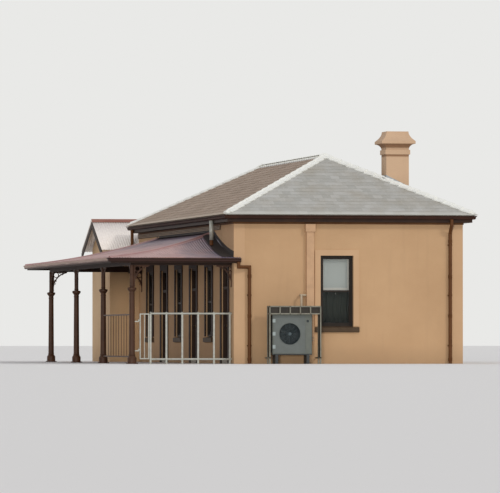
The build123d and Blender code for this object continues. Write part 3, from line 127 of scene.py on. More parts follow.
# Rings round a post, as radius, thickness and height, and rings in the eye of a bracket, as the
# way out from its post or wall, the way down from its top, and radius.
POST_RINGS = (
    (0.086, 0.012, 0.245), (0.078, 0.008, 0.32), (0.075, 0.01, 1.93), (0.061, 0.009, 2.15),
    (0.06, 0.007, 2.45),
)
BRACKET_RINGS = ((0.205, 0.078, 0.036), (0.29, 0.066, 0.024), (0.075, 0.27, 0.03), (0.06, 0.36, 0.02))

# Where the near wall meets the platform's side, and the heights of the eaves and chimney head.
CORNER_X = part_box("near_wall")[0].x
CORNER_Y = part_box("near_wall")[0].y
EAVE_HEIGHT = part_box("roof_slope_near")[0].z
HEAD_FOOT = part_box("chimney_cornice")[0].z
HEAD_COVE = 0.16
HEAD_LIP = 0.075
HEAD_TOP_SHARE = 0.65

# The camera stands where the photographer stood, 0.61 m above the platform's level. Its lens is
# 2.9 times as long as the photograph's, so that the building fills the frame.
CAMERA_FROM_CORNER = Vector((-26.97, -141.77, 0.61))
CAMERA_TURN = math.radians(10.95)
CAMERA_PITCH = math.radians(1.045)
CAMERA_LENS = 376.0


# Nodes and finishes

def add(tree, kind, inputs=(), **settings):
    """Add a node, give it its settings, and link or set its inputs."""
    made = tree.nodes.new(kind)
    for name, value in settings.items():
        setattr(made, name, value)
    for key, value in dict(inputs).items():
        socket = made.inputs[key]
        if isinstance(value, bpy.types.NodeSocket):
            tree.links.new(value, socket)
        elif isinstance(value, bpy.types.Node):
            tree.links.new(next(o for o in value.outputs if o.enabled), socket)
        else:
            socket.default_value = value
    return made


def linear(text):
    """An sRGB hex colour as the linear RGBA that a shader wants."""
    parts = [int(text[i:i + 2], 16) / 255 for i in (1, 3, 5)]
    return [p / 12.92 if p <= 0.04045 else ((p + 0.055) / 1.055) ** 2.4 for p in parts] + [1.0]


def finish_named(name, colour, roughness, metallic=0.0):
    """A new material with its main values set on the shader itself."""
    made = bpy.data.materials.new(name)
    made.use_nodes = True
    shader = made.node_tree.nodes["Principled BSDF"]
    shader.inputs["Base Color"].default_value = linear(colour)
    shader.inputs["Roughness"].default_value = roughness
    shader.inputs["Metallic"].default_value = metallic
    made.diffuse_color = linear(colour)
    return made, made.node_tree, shader


def maths(tree, operation, first, second=0.0, third=0.0):
    return add(tree, "ShaderNodeMath", {0: first, 1: second, 2: third}, operation=operation)


def place(tree, scale=(1, 1, 1)):
    """Object coordinates, stretched by a scale in each direction."""
    where = add(tree, "ShaderNodeTexCoord")
    return add(tree, "ShaderNodeMapping", {"Vector": where.outputs["Object"], "Scale": scale})


def noise(tree, size, detail=4.0, stretch=(1, 1, 1), rough=0.55):
    """Noise whose blobs are about a size in metres."""
    return add(tree, "ShaderNodeTexNoise", {
        "Vector": place(tree, stretch), "Scale": 1 / size, "Detail": detail, "Roughness": rough,
    })


def ramp(tree, source, low, high, start=0.0, end=1.0):
    """Turn a value into a fade between two numbers."""
    return add(tree, "ShaderNodeMapRange", {
        "Value": source, "From Min": low, "From Max": high, "To Min": start, "To Max": end,
    })


def blend_colour(tree, amount, first, second):
    """Fade from one colour or socket to another."""
    def as_input(value):
        return linear(value) if isinstance(value, str) else value
    mixed = add(
        tree, "ShaderNodeMix", {0: amount, 6: as_input(first), 7: as_input(second)}, data_type="RGBA"
    )
    return mixed.outputs[2]


def stain(tree, base, colour, size, detail, low, high, amount=1.0, stretch=(1, 1, 1)):
    """Fade a colour over a base in patches about a size in metres."""
    patches = ramp(tree, noise(tree, size, detail, stretch), low, high, 0.0, amount)
    return blend_colour(tree, patches, base, colour)


def bump(tree, shader, height, distance, strength=0.5):
    made = add(tree, "ShaderNodeBump", {"Height": height, "Distance": distance, "Strength": strength})
    tree.links.new(made.outputs["Normal"], shader.inputs["Normal"])


def coat(tree, shader, base, height, distance, strength=0.5):
    """Give a shader its finished colour and its relief."""
    tree.links.new(base, shader.inputs["Base Color"])
    bump(tree, shader, height, distance, strength)


def coordinate(tree, axis):
    """A place along an axis of the frame, in metres: Z is the height above the platform."""
    where = add(tree, "ShaderNodeTexCoord")
    return add(tree, "ShaderNodeSeparateXYZ", {0: where.outputs["Object"]}).outputs[axis]


def weathered(name, colour, roughness, stains, relief, metallic=0.0, specular=0.5):
    """A finish of one colour with stains over it. Relief is its noise, distance and strength."""
    made, tree, shader = finish_named(name, colour, roughness, metallic)
    shader.inputs["Specular IOR Level"].default_value = specular
    base = colour
    for patches in stains:
        base = stain(tree, base, *patches)
    grain, distance, strength = relief
    coat(tree, shader, base, noise(tree, *grain), distance, strength)
    return made


def render_finish(name, colour, pale, dark, painted_shade_bands=()):
    """Sand render, painted and weathered: matt, faintly grainy, with soft streaks and a damp foot.

    Painted shade bands give heights between which the render is darkened as painted shade, as under a lip.
    """
    made, tree, shader = finish_named(name, colour, 0.92)
    base = stain(tree, colour, pale, 1.6, 5, 0.36, 0.68)
    base = stain(tree, base, dark, 0.22, 6, 0.55, 0.8, 0.16, (1, 1, 0.12))
    height = coordinate(tree, "Z")
    damp_edge = maths(tree, "SUBTRACT", height, ramp(tree, noise(tree, 0.4, 5), 0, 1, 0, 0.6))
    base = blend_colour(tree, ramp(tree, damp_edge, 0.25, -0.35, 0.0, 0.3), base, "#6f5f4a")
    soft = 0.02
    # Between each pair of heights the render is darkened as painted shade.
    for low, high in painted_shade_bands:
        above = ramp(tree, height, low - soft, low + soft)
        below = ramp(tree, height, high - soft, high + soft, 0.8, 0.0)
        base = blend_colour(tree, maths(tree, "MULTIPLY", above, below), base, "#7d5536")
    relief = maths(tree, "MULTIPLY_ADD", noise(tree, 0.5, 3), 3.0, noise(tree, 0.012, 3))
    coat(tree, shader, base, relief, 0.003, 0.7)
    return made


def slate_finish(name, dark, pale, moss, lichen):
    """Natural slate, riven and weathered: each slate its own tone, mossy stains, pale lichen.

    The lowest course is painted palest, in a band just above the eaves.
    """
    made, tree, shader = finish_named(name, dark, 0.82)
    tone = add(tree, "ShaderNodeAttribute", attribute_name="slate_tone")
    base = blend_colour(tree, tone.outputs["Fac"], dark, pale)
    base = stain(tree, base, moss, 0.6, 5, 0.42, 0.7, 0.5)
    base = stain(tree, base, lichen, 0.06, 5, 0.58, 0.74, 0.6)
    edge = ramp(tree, coordinate(tree, "Z"), EAVE_HEIGHT + 0.02, EAVE_HEIGHT + 0.14, 0.75, 0.0)
    base = blend_colour(tree, edge, base, lichen)
    coat(tree, shader, base, noise(tree, 0.03, 6), 0.003, 0.6)
    return made


def dull_metal_finish(name, colour, dark, roughness=0.5, metallic=0.55):
    """Galvanised sheet gone dull: soft grey mottling and a fine uneven skin."""
    stains = [(dark, 0.08, 6, 0.4, 0.7, 0.6)]
    return weathered(name, colour, roughness, stains, ((0.02, 3), 0.001, 0.4), metallic)


def painted_timber_finish(name, colour, worn, bare, roughness=0.6):
    """Old oil paint, chalked by the sun: a dull sheen, brush lines and small chips."""
    stains = [(worn, 0.35, 5, 0.4, 0.72, 0.7), (bare, 0.018, 7, 0.69, 0.73, 0.8)]
    brush_lines = (0.012, 3, (1, 1, 0.2))
    return weathered(name, colour, roughness, stains, (brush_lines, 0.0008, 0.5), specular=0.25)


def painted_iron_finish(name, colour, faded, rust, roughness=0.6, shade_and_sky=None):
    """Roof iron under old red oxide paint: chalky, faded in broad patches, with short rusty streaks.

    A shade and sky colour, where given, is painted near the wall, under the eaves: painted shade of the
    eaves with a painted bluish reflection of the sky.
    """
    made, tree, shader = finish_named(name, colour, roughness)
    base = stain(tree, colour, faded, 0.9, 6, 0.38, 0.64)
    if shade_and_sky is not None:
        # Near the wall the iron fades to a dark bluish colour, as painted shade and a painted sky
        # reflection.
        ragged = ramp(tree, noise(tree, 0.5, 5), 0.3, 0.7, -0.5, 0.5)
        reach = maths(tree, "ADD", coordinate(tree, "X"), ragged)
        kept = ramp(tree, reach, CORNER_X - SHADE_AND_SKY_REACH, CORNER_X - 0.1, 0.0, 0.85)
        base = blend_colour(tree, kept, base, shade_and_sky)
    base = stain(tree, base, rust, 0.09, 6, 0.56, 0.75, 0.4, (0.35, 0.35, 1))
    coat(tree, shader, base, noise(tree, 0.015, 4), 0.0008)
    return made


def gutter_wear_light_and_shade_finish():
    """Gutter paint with a painted highlight on the upper half of the long front, and darker at the near end
    as painted shade.
    """
    made, tree, shader = finish_named("worn_gutter_painted_light_and_shade", "#3f231a", 0.5)
    shader.inputs["Specular IOR Level"].default_value = 0.3
    low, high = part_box("verandah_gutters")
    ragged = ramp(tree, noise(tree, 0.3, 5, (1, 0.3, 1)), 0.3, 0.7, -0.012, 0.012)
    level = maths(tree, "ADD", coordinate(tree, "Z"), ragged)
    middle = (low.z + high.z) / 2
    # The long front's upper half is painted pale as a highlight, and the near end dark as painted shade.
    upper = ramp(tree, level, middle - 0.02, middle + 0.012, 0.0, 0.85)
    along = ramp(tree, coordinate(tree, "Y"), low.y + GUTTER_WIDTH, low.y + 2 * GUTTER_WIDTH)
    base = blend_colour(tree, along, "#2e150d", "#54382e")
    base = blend_colour(tree, maths(tree, "MULTIPLY", upper, along), base, "#b79c8c")
    base = stain(tree, base, "#86675a", 0.02, 7, 0.66, 0.72, 0.6)
    coat(tree, shader, base, noise(tree, 0.012, 3), 0.0008)
    return made


def glass_finish():
    """Old drawn window glass: clear, with a faint dark tint, a little uneven."""
    made, tree, shader = finish_named("drawn_glass", "#20262a", 0.06)
    shader.inputs["IOR"].default_value = 1.5
    shader.inputs["Alpha"].default_value = 0.16
    bump(tree, shader, noise(tree, 0.25, 2), 0.002, 0.25)
    return made


def cloth_finish(name, colour, aged):
    """Holland blind cloth: matt, closely woven, with threads drawn at 6 mm so that they show."""
    made, tree, shader = finish_named(name, colour, 0.9)
    threads = add(tree, "ShaderNodeTexWave", {
        "Vector": place(tree), "Scale": 0.314 / 0.006, "Distortion": 0.4,
    }, bands_direction="Z")
    base = stain(tree, colour, aged, 0.4, 4, 0.45, 0.75, 0.5)
    coat(tree, shader, base, threads.outputs["Fac"], 0.0006)
    return made


def plastic_finish(name, colour, dirt, roughness=0.55):
    """Moulded or coated sheet, aged outdoors: even, with dust in soft patches."""
    stains = [(dirt, 0.22, 6, 0.42, 0.75, 0.7)]
    return weathered(name, colour, roughness, stains, ((0.006, 2), 0.0004, 0.5))


def concrete_finish(name, colour, pale):
    """Steel-trowelled concrete floor: grey, cloudy, slightly polished by feet."""
    return weathered(name, colour, 0.7, [(pale, 0.7, 6, 0.35, 0.7)], ((0.02, 4), 0.001, 0.5))


WALL_RENDER = render_finish("painted_render", "#b4916c", "#bd9a74", "#94785a")
# The chimney's render is darkened in the cove under its lip and in a line at the foot of its collar, as
# painted shade.
CHIMNEY_RENDER = render_finish(
    "chimney_render", "#bd9e80", "#c5a687", "#9b8065",
    painted_shade_bands=((HEAD_FOOT + 0.05, HEAD_FOOT + HEAD_COVE), (HEAD_FOOT - 0.2, HEAD_FOOT - 0.145)),
)
BAND_RENDER = render_finish("smooth_render", "#ba9773", "#c19e7a", "#a38565")
# The wing's render is painted paler than the main walls, as painted light where the verandah shades its
# wall.
WING_RENDER_PAINTED_LIGHT = render_finish("wing_render_painted_light", "#be9d77", "#c9aa84", "#a08060")
SLATE = slate_finish("riven_slate", "#a1a099", "#b1b0aa", "#9b9383", "#c4c3ba")
# The platform slope's slate is browner with moss and darker as painted shade.
MOSSY_SHADED_SLATE = slate_finish("mossy_slate_painted_shade", "#947f6d", "#a7927e", "#786753", "#b9ac99")
CAPPING = dull_metal_finish("galvanised_capping", "#ebebe4", "#d3d4ce", 0.55, 0.1)
FLASHING = dull_metal_finish("lead_flashing", "#a3a6a8", "#85888a", 0.6, 0.4)
WING_IRON = dull_metal_finish("galvanised_iron", "#f0e8e0", "#e0d6ce", 0.55, 0.1)
BROWN_TIMBER = painted_timber_finish("painted_timber", "#27150b", "#352011", "#5f4630")
SASH_PAINT = painted_timber_finish("sash_paint", "#1f1711", "#2d2119", "#5a4a39", 0.5)
SILL_PAINT = painted_timber_finish("sill_paint", "#453524", "#554330", "#7c6851")
BROWN_GUTTER = painted_timber_finish("painted_gutter", "#2c1408", "#3d1f10", "#6b452c", 0.7)
FRIEZE_PAINT = painted_timber_finish("frieze_paint", "#58371b", "#684627", "#7d5c3c", 0.7)
GUTTER_WEAR_LIGHT_AND_SHADE = gutter_wear_light_and_shade_finish()
BROWN_PIPE = painted_timber_finish("painted_pipe", "#54300f", "#653f1e", "#8f7351")
CAST_IRON = painted_timber_finish("painted_cast_iron", "#3f2718", "#553725", "#7a5233", 0.5)
DOOR_PAINT = painted_timber_finish("door_paint", "#2b1a10", "#38241a", "#6d563e")
# Near the wall the red iron carries painted shade and a painted sky reflection.
RED_IRON = painted_iron_finish(
    "red_oxide_iron", "#aa7d77", "#bb9691", "#7d4f48", 0.42, shade_and_sky="#3f4560"
)
RED_CAP = painted_iron_finish("red_ridge_iron", "#844f40", "#8f5d4d", "#6e4236")
HIP_IRON = painted_iron_finish("hip_iron", "#9c7673", "#ab8683", "#7d4f48", 0.4)
# Near-black, as painted shade where the main eave shades the verandah's iron by the wall.
PAINTED_SHADE_IRON = painted_iron_finish("wall_flashing_painted_shade", "#1b1312", "#291d1b", "#33211b", 0.7)
GLASS = glass_finish()
BLIND = cloth_finish("holland_blind", "#d0d8d2", "#c4cdc6")
BLIND_HEM = cloth_finish("bleached_blind_hem", "#efeee2", "#dcdccd")
# Dark brown cloth for the platform windows, as painted shade under the verandah.
BROWN_BLIND_PAINTED_SHADE = cloth_finish("brown_blind", "#4a3c2c", "#3a2e20")
# The curtains are dark green-grey as painted shade of the unlit room behind them.
CURTAIN = cloth_finish("net_curtain_painted_shade", "#2f352b", "#262b22")
TUBE = dull_metal_finish("galvanised_tube", "#aeafa6", "#8d8c82", 0.5, 0.3)
GUARD_STEEL = dull_metal_finish("guard_steel", "#7f7d70", "#5f5b4e", 0.6, 0.25)
COATED_SHEET = plastic_finish("powder_coated_sheet", "#62675f", "#555852")
PALE_COAT = plastic_finish("faded_coated_sheet", "#98a3a2", "#828a87")
DARK_PLASTIC = plastic_finish("dark_moulding", "#26292a", "#3a3c3a")
FAN_BLACK = plastic_finish("fan_moulding", "#172023", "#232d30", 0.5)
PIPE_LAGGING = plastic_finish("pipe_lagging", "#b9a88f", "#94826a", 0.8)
# Near-black sheets in the guard, as painted shade in the gaps round the unit.
PAINTED_SHADE_SHEET = plastic_finish("guard_sheet_painted_shade", "#221c14", "#332b20", 0.7)
PANEL_COAT = plastic_finish("coated_panel", "#5f6562", "#535853")
TRUNK_PAINT = plastic_finish("painted_trunking", "#bd9772", "#a88462")
WIRE = plastic_finish("coated_wire", "#39464a", "#4a575a", 0.5)
PALE_BATTEN_TIMBER = painted_timber_finish("pale_batten_timber", "#7f6a54", "#8f7c66", "#a08d76")
BRASS = dull_metal_finish("tarnished_brass", "#8a7442", "#5d4c2a", 0.4, 0.8)
SCREW = dull_metal_finish("zinc_screw", "#9b9188", "#7a6a60", 0.45, 0.6)
CEILING_PAINT = plastic_finish("ceiling_paint", "#d6d0c2", "#bdb5a3", 0.8)
CONCRETE = concrete_finish("trowelled_concrete", "#8d8778", "#a49d8d")

NODE_FINISHES = {
    WALL_RENDER: ("near_wall", "far_wall", "platform_wall", "door_lintels", "road_wall"),
    BAND_RENDER: ("window_bands",),
    WING_RENDER_PAINTED_LIGHT: ("wing_gable_walls", "wing_side_walls"),
    CHIMNEY_RENDER: ("chimney_shaft", "chimney_cornice"),
    CONCRETE: ("floor", "wing_floor"),
    CEILING_PAINT: ("ceiling",),
    SLATE: ("roof_slope_near", "roof_slope_road", "roof_slope_far"),
    MOSSY_SHADED_SLATE: ("roof_slope_platform",),
    CAPPING: ("roof_cappings",),
    BROWN_TIMBER: (
        "eave_fascias", "eave_soffits", "door_jambs", "door_heads", "verandah_rafters",
        "verandah_ledger", "verandah_fascias", "verandah_beams", "wing_bargeboards",
    ),
    FRIEZE_PAINT: ("eave_friezes",),
    SASH_PAINT: ("window_frames", "window_sashes"),
    SILL_PAINT: ("window_sills",),
    DOOR_PAINT: ("platform_door_1", "platform_door_2", "platform_door_3"),
    BROWN_GUTTER: ("main_gutters",),
    GUTTER_WEAR_LIGHT_AND_SHADE: ("verandah_gutters",),
    BROWN_PIPE: ("downpipes", "pipe_clips"),
    CAST_IRON: ("verandah_posts", "verandah_brackets", "platform_railing"),
    GLASS: ("window_panes", "door_transom_panes"),
    BLIND: ("window_blinds",),
    TUBE: ("end_railing", "end_gate", "gate_hangers"),
    RED_IRON: ("verandah_roof_front", "verandah_roof_near_end", "verandah_roof_far_end"),
    RED_CAP: ("wing_ridge_cap",),
    WING_IRON: ("wing_roof_near_slope", "wing_roof_far_slope"),
    COATED_SHEET: ("unit_casing", "unit_fan_grille"),
    GUARD_STEEL: ("unit_guard",),
    DARK_PLASTIC: ("unit_feet",),
    FAN_BLACK: ("unit_fan",),
    PIPE_LAGGING: ("unit_pipes",),
    TRUNK_PAINT: ("pipe_trunking",),
}


def finish_nodes():
    """Give every carried-over node its finish."""
    for finish, names in NODE_FINISHES.items():
        for name in names:
            mesh = nodes[name].data
            mesh.materials.clear()
            mesh.materials.append(finish)


# Making meshes

def new_object(name, mesh):
    made = bpy.data.objects.new(name, mesh)
    bpy.context.scene.collection.objects.link(made)
    return made


def piece(name, meshes, finish, body="building", smooth=False):
    """A finished piece, from a mesh or a list of them, that rides on a body."""
    mesh = joined(name, meshes) if isinstance(meshes, list) else meshes
    mesh.materials.clear()
    mesh.materials.append(finish)
    mesh.polygons.foreach_set("use_smooth", [smooth] * len(mesh.polygons))
    made = new_object(name, mesh)
    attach(made, body)
    return made


def mesh_of(name, vertices, faces):
    mesh = bpy.data.meshes.new(name)
    mesh.from_pydata(vertices, [], faces)
    mesh.update()
    return mesh


@contextmanager
def reworked(mesh):
    """A mesh opened for editing, and written back at the end."""
    work = bmesh.new()
    work.from_mesh(mesh)
    yield work
    work.to_mesh(mesh)
    work.free()


def outward(mesh):
    """Turn every face of a closed mesh outwards."""
    with reworked(mesh) as work:
        bmesh.ops.recalc_face_normals(work, faces=work.faces)
    return mesh


def joined(name, meshes):
    """One mesh from several."""
    made = bpy.data.meshes.new(name)
    with reworked(made) as work:
        for mesh in meshes:
            work.from_mesh(mesh)
    return made


def box_mesh(low, high, edge=0.0):
    """A box between two corners, with its edges eased."""
    made = bpy.data.meshes.new("box")
    with reworked(made) as work:
        bmesh.ops.create_cube(work, size=1.0)
        for vertex in work.verts:
            vertex.co = Vector(low[i] + (vertex.co[i] + 0.5) * (high[i] - low[i]) for i in range(3))
        if edge:
            bmesh.ops.bevel(work, geom=list(work.edges), offset=edge, segments=2, affect="EDGES")
    return made


def ring_faces(rings, count, closed=False):
    """Faces between neighbouring rings of vertices: closed joins the last to the first, with no ends."""
    faces = []
    for i in range(rings if closed else rings - 1):
        here, after = i * count, (i + 1) % rings * count
        for j in range(count):
            k = (j + 1) % count
            faces.append((here + j, here + k, after + k, after + j))
    if not closed:
        faces.append(tuple(range(count - 1, -1, -1)))
        faces.append(tuple(range((rings - 1) * count, rings * count)))
    return faces


def swept(points, section, up=(0, 0, 1)):
    """A section carried along a path: it is drawn as (side, up) and closed at both ends."""
    vertices = []
    for i, point in enumerate(points):
        before = points[max(i - 1, 0)]
        after = points[min(i + 1, len(points) - 1)]
        way = (Vector(after) - Vector(before)).normalized()
        side = way.cross(Vector(up)).normalized()
        rise = side.cross(way)
        vertices += [Vector(point) + side * a + rise * b for a, b in section]
    return outward(mesh_of("swept", vertices, ring_faces(len(points), len(section))))


def ring_section(radius, sides=10):
    return [
        (radius * math.cos(2 * math.pi * i / sides), radius * math.sin(2 * math.pi * i / sides))
        for i in range(sides)
    ]


def stood(vertices, faces, place_at, axis):
    """A closed mesh drawn round Z, stood at a place with its Z along an axis."""
    mesh = mesh_of("turned", vertices, faces)
    turn = Vector(axis).to_track_quat("Z", "Y").to_matrix().to_4x4()
    mesh.transform(Matrix.Translation(Vector(place_at)) @ turn)
    return outward(mesh)


def turned(profile, place_at=(0, 0, 0), axis=(0, 0, 1), sides=16):
    """A profile of (radius, height) turned about an axis, closed top and bottom."""
    vertices = [(x, y, height) for radius, height in profile for x, y in ring_section(radius, sides)]
    return stood(vertices, ring_faces(len(profile), sides), place_at, axis)


def lathe(section, place_at, axis=(0, 0, 1), sides=16):
    """A closed section of (radius, height) turned right round an axis, as a ring."""
    vertices = [(r * c, r * s, h) for c, s in ring_section(1.0, sides) for r, h in section]
    return stood(vertices, ring_faces(sides, len(section), closed=True), place_at, axis)


def round_ring(radius, thick, place_at, axis=(0, 0, 1), sides=20):
    return lathe([(radius + a, b) for a, b in ring_section(thick, 8)], place_at, axis, sides)


def boxes(spans, edge=0.0):
    """One mesh of boxes, each given by its two corners."""
    return joined("boxes", [box_mesh(low, high, edge) for low, high in spans])


def copies(models, places):
    """Copies of meshes, moved by each of several matrices."""
    made = []
    for place_at in places:
        for model in models:
            made.append(model.copy())
            made[-1].transform(place_at)
    return made


# Geometry Nodes

INPUT_KINDS = {
    float: "NodeSocketFloat", int: "NodeSocketInt", Vector: "NodeSocketVector",
    bpy.types.Object: "NodeSocketObject", bpy.types.Material: "NodeSocketMaterial",
}


def new_tree(name, inputs):
    """An empty Geometry Nodes tree with named inputs, and the node that gives them."""
    tree = bpy.data.node_groups.new(name, "GeometryNodeTree")
    for label, kind in inputs.items():
        tree.interface.new_socket(label, in_out="INPUT", socket_type=INPUT_KINDS[kind])
    tree.interface.new_socket("Geometry", in_out="OUTPUT", socket_type="NodeSocketGeometry")
    return tree, tree.nodes.new("NodeGroupInput")


def close_tree(tree, instances, given):
    """End a tree in real geometry with its material."""
    real = add(tree, "GeometryNodeRealizeInstances", {0: instances})
    coated = add(tree, "GeometryNodeSetMaterial", {
        "Geometry": real, "Material": given.outputs["Material"],
    })
    add(tree, "NodeGroupOutput", {0: coated})


def grown(tree, values):
    """The plain mesh that a tree makes from its named inputs."""
    carrier = new_object("grower", bpy.data.meshes.new("grower"))
    modifier = carrier.modifiers.new("grower", "NODES")
    modifier.node_group = tree
    for item in tree.interface.items_tree:
        if item.in_out == "INPUT":
            modifier[item.identifier] = values[item.name]
    depsgraph = bpy.context.evaluated_depsgraph_get()
    mesh = bpy.data.meshes.new_from_object(carrier.evaluated_get(depsgraph))
    carrier.modifiers.remove(modifier)
    bpy.data.objects.remove(carrier)
    return mesh


def slate_tree():
    """Courses of slates over a slope whose sides run in on the hips."""
    tree, given = new_tree("slate_courses", {
        "Eave Length": float, "Slope Length": float, "Run Per Length": float,
        "Slate Width": float, "Gauge": float, "Thickness": float, "Seed": int,
        "Material": bpy.types.Material,
    })
    eave, slope, run_per_length, width, gauge, thick, seed = list(given.outputs)[:7]

    def calc(operation, first, second=0.0):
        return maths(tree, operation, first, second)

    def random(first, second, kind="FLOAT"):
        low, high, out = (2, 3, 1) if kind == "FLOAT" else (0, 1, 0)
        inputs = {low: first, high: second, "Seed": seed}
        return add(tree, "FunctionNodeRandomValue", inputs, data_type=kind).outputs[out]

    def position():
        return add(tree, "ShaderNodeSeparateXYZ", {0: add(tree, "GeometryNodeInputPosition")}).outputs

    across = calc("CEIL", calc("DIVIDE", eave, width))
    courses = calc("FLOOR", calc("DIVIDE", slope, gauge))
    grid = add(tree, "GeometryNodeMeshGrid", {
        "Size X": eave, "Size Y": slope,
        "Vertices X": calc("ADD", across, 1.0), "Vertices Y": calc("ADD", courses, 1.0),
    })
    half_slope = calc("MULTIPLY", slope, 0.5)
    step = calc("DIVIDE", slope, courses)
    course = calc("ROUND", calc("DIVIDE", calc("ADD", position()["Y"], half_slope), step))
    shift = calc("MULTIPLY", calc("MULTIPLY", calc("MODULO", course, 2.0), 0.5), width)
    up = calc("ADD", calc("MULTIPLY", step, 0.5), random(-SLATE_STRAY, SLATE_STRAY))
    moved = add(tree, "GeometryNodeSetPosition", {
        "Geometry": grid.outputs["Mesh"], "Offset": add(tree, "ShaderNodeCombineXYZ", {"X": shift, "Y": up}),
    })
    here = position()
    run_in = calc("MULTIPLY", calc("ADD", here["Y"], half_slope), run_per_length)
    limit = calc("ADD", calc("SUBTRACT", calc("MULTIPLY", eave, 0.5), run_in), width)
    outside = calc("GREATER_THAN", calc("ABSOLUTE", here["X"]), limit)
    too_high = calc("GREATER_THAN", here["Y"], half_slope)
    kept = add(tree, "GeometryNodeDeleteGeometry", {
        "Geometry": moved, "Selection": calc("MAXIMUM", outside, too_high),
    }, domain="POINT")
    size = add(tree, "ShaderNodeCombineXYZ", {
        "X": calc("SUBTRACT", width, SLATE_JOINT),
        "Y": calc("MULTIPLY", gauge, SLATE_LENGTH_IN_GAUGES), "Z": thick,
    })
    slate = add(tree, "GeometryNodeMeshCube", {"Size": size})
    tilt = calc("DIVIDE", calc("MULTIPLY", thick, -SLATE_TILT_IN_THICKNESSES), gauge)
    twist = random([-angle for angle in SLATE_TWIST], SLATE_TWIST, "FLOAT_VECTOR")
    turn = add(tree, "ShaderNodeVectorMath", {
        0: add(tree, "ShaderNodeCombineXYZ", {"X": tilt}), 1: twist,
    }, operation="ADD")
    laid = add(tree, "GeometryNodeInstanceOnPoints", {
        "Points": kept, "Instance": slate.outputs["Mesh"], "Rotation": turn,
    })
    toned = add(tree, "GeometryNodeStoreNamedAttribute", {
        "Geometry": laid, "Name": "slate_tone", "Value": random(0.0, 1.0),
    }, data_type="FLOAT", domain="INSTANCE")
    close_tree(tree, toned, given)
    return tree


def row_tree():
    """Copies of one small piece along a line."""
    tree, given = new_tree("row_of_pieces", {
        "Start": Vector, "End": Vector, "Spacing": float, "Piece": bpy.types.Object,
        "Material": bpy.types.Material,
    })
    start, end, spacing, model = list(given.outputs)[:4]
    way = add(tree, "ShaderNodeVectorMath", {0: end, 1: start}, operation="SUBTRACT")
    length = add(tree, "ShaderNodeVectorMath", {0: way}, operation="LENGTH").outputs["Value"]
    count = maths(tree, "ROUND", maths(tree, "DIVIDE", length, spacing))
    line = add(tree, "GeometryNodeMeshLine", {
        "Count": maths(tree, "ADD", count, 1.0), "Start Location": start, "Offset": end,
    }, mode="END_POINTS")
    source = add(tree, "GeometryNodeObjectInfo", {"Object": model})
    laid = add(tree, "GeometryNodeInstanceOnPoints", {
        "Points": line, "Instance": source.outputs["Geometry"],
    })
    close_tree(tree, laid, given)
    return tree


def wire_tree():
    """Rings of round wire, one inside the next."""
    tree, given = new_tree("wire_rings", {
        "Outer Radius": float, "Spacing": float, "Wire Radius": float,
        "Material": bpy.types.Material,
    })
    outer, spacing, wire_radius = list(given.outputs)[:3]
    count = maths(tree, "FLOOR", maths(tree, "DIVIDE", outer, spacing))
    points = add(tree, "GeometryNodeMeshLine", {"Count": count, "Offset": (0, 0, 0)})
    circle = add(tree, "GeometryNodeCurvePrimitiveCircle", {"Resolution": 56, "Radius": 1.0})
    inward = maths(tree, "MULTIPLY", add(tree, "GeometryNodeInputIndex"), spacing)
    radius = maths(tree, "SUBTRACT", outer, inward)
    scale = add(tree, "ShaderNodeCombineXYZ", {"X": radius, "Y": radius, "Z": 1.0})
    rings = add(tree, "GeometryNodeInstanceOnPoints", {
        "Points": points, "Instance": circle.outputs["Curve"], "Scale": scale,
    })
    real = add(tree, "GeometryNodeRealizeInstances", {0: rings})
    section = add(tree, "GeometryNodeCurvePrimitiveCircle", {"Resolution": 6, "Radius": wire_radius})
    wires = add(tree, "GeometryNodeCurveToMesh", {
        "Curve": real, "Profile Curve": section.outputs["Curve"],
    })
    close_tree(tree, wires, given)
    return tree


SLATE_TREE = slate_tree()
ROW_TREE = row_tree()
WIRE_TREE = wire_tree()


def row(model, start, end, spacing, finish):
    """A mesh of copies of a model along a line, with the model drawn round the origin."""
    source = new_object("row_source", model)
    mesh = grown(ROW_TREE, {
        "Start": Vector(start), "End": Vector(end), "Spacing": spacing, "Piece": source,
        "Material": finish,
    })
    bpy.data.objects.remove(source)
    return mesh


# Main roof

platform_low, platform_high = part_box("roof_slope_platform")
roof_x0, roof_x1 = platform_low.x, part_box("roof_slope_road")[1].x
roof_y0, roof_y1 = platform_low.y, platform_high.y
ridge_z = platform_high.z
roof_half = (roof_x1 - roof_x0) / 2
ridge_x = roof_x0 + roof_half
eave_z = ridge_z - roof_half * math.tan(ROOF_PITCH)


def slope_frame(eave_middle, inward, half_length):
    """The place of a slope: x along the eave, y up the slope, z out of it, from its middle."""
    level = Vector((*inward, 0))
    rise = level * math.cos(ROOF_PITCH) + Vector((0, 0, math.sin(ROOF_PITCH)))
    normal = level * -math.sin(ROOF_PITCH) + Vector((0, 0, math.cos(ROOF_PITCH)))
    turn = Matrix((rise.cross(normal), rise, normal)).transposed().to_4x4()
    return Matrix.Translation(Vector(eave_middle) + rise * half_length) @ turn


def trim_on_hips(mesh, eave_length, slope_length):
    """Cut the slates off on the two hip lines and close the cuts."""
    with reworked(mesh) as work:
        for side in (-1, 1):
            bmesh.ops.bisect_plane(
                work, geom=list(work.verts) + list(work.edges) + list(work.faces),
                plane_co=(side * eave_length / 2, -slope_length / 2, 0),
                plane_no=(side, math.cos(ROOF_PITCH), 0), clear_outer=True, dist=1e-5,
            )
            open_edges = [edge for edge in work.edges if edge.is_boundary]
            bmesh.ops.holes_fill(work, edges=open_edges, sides=0)


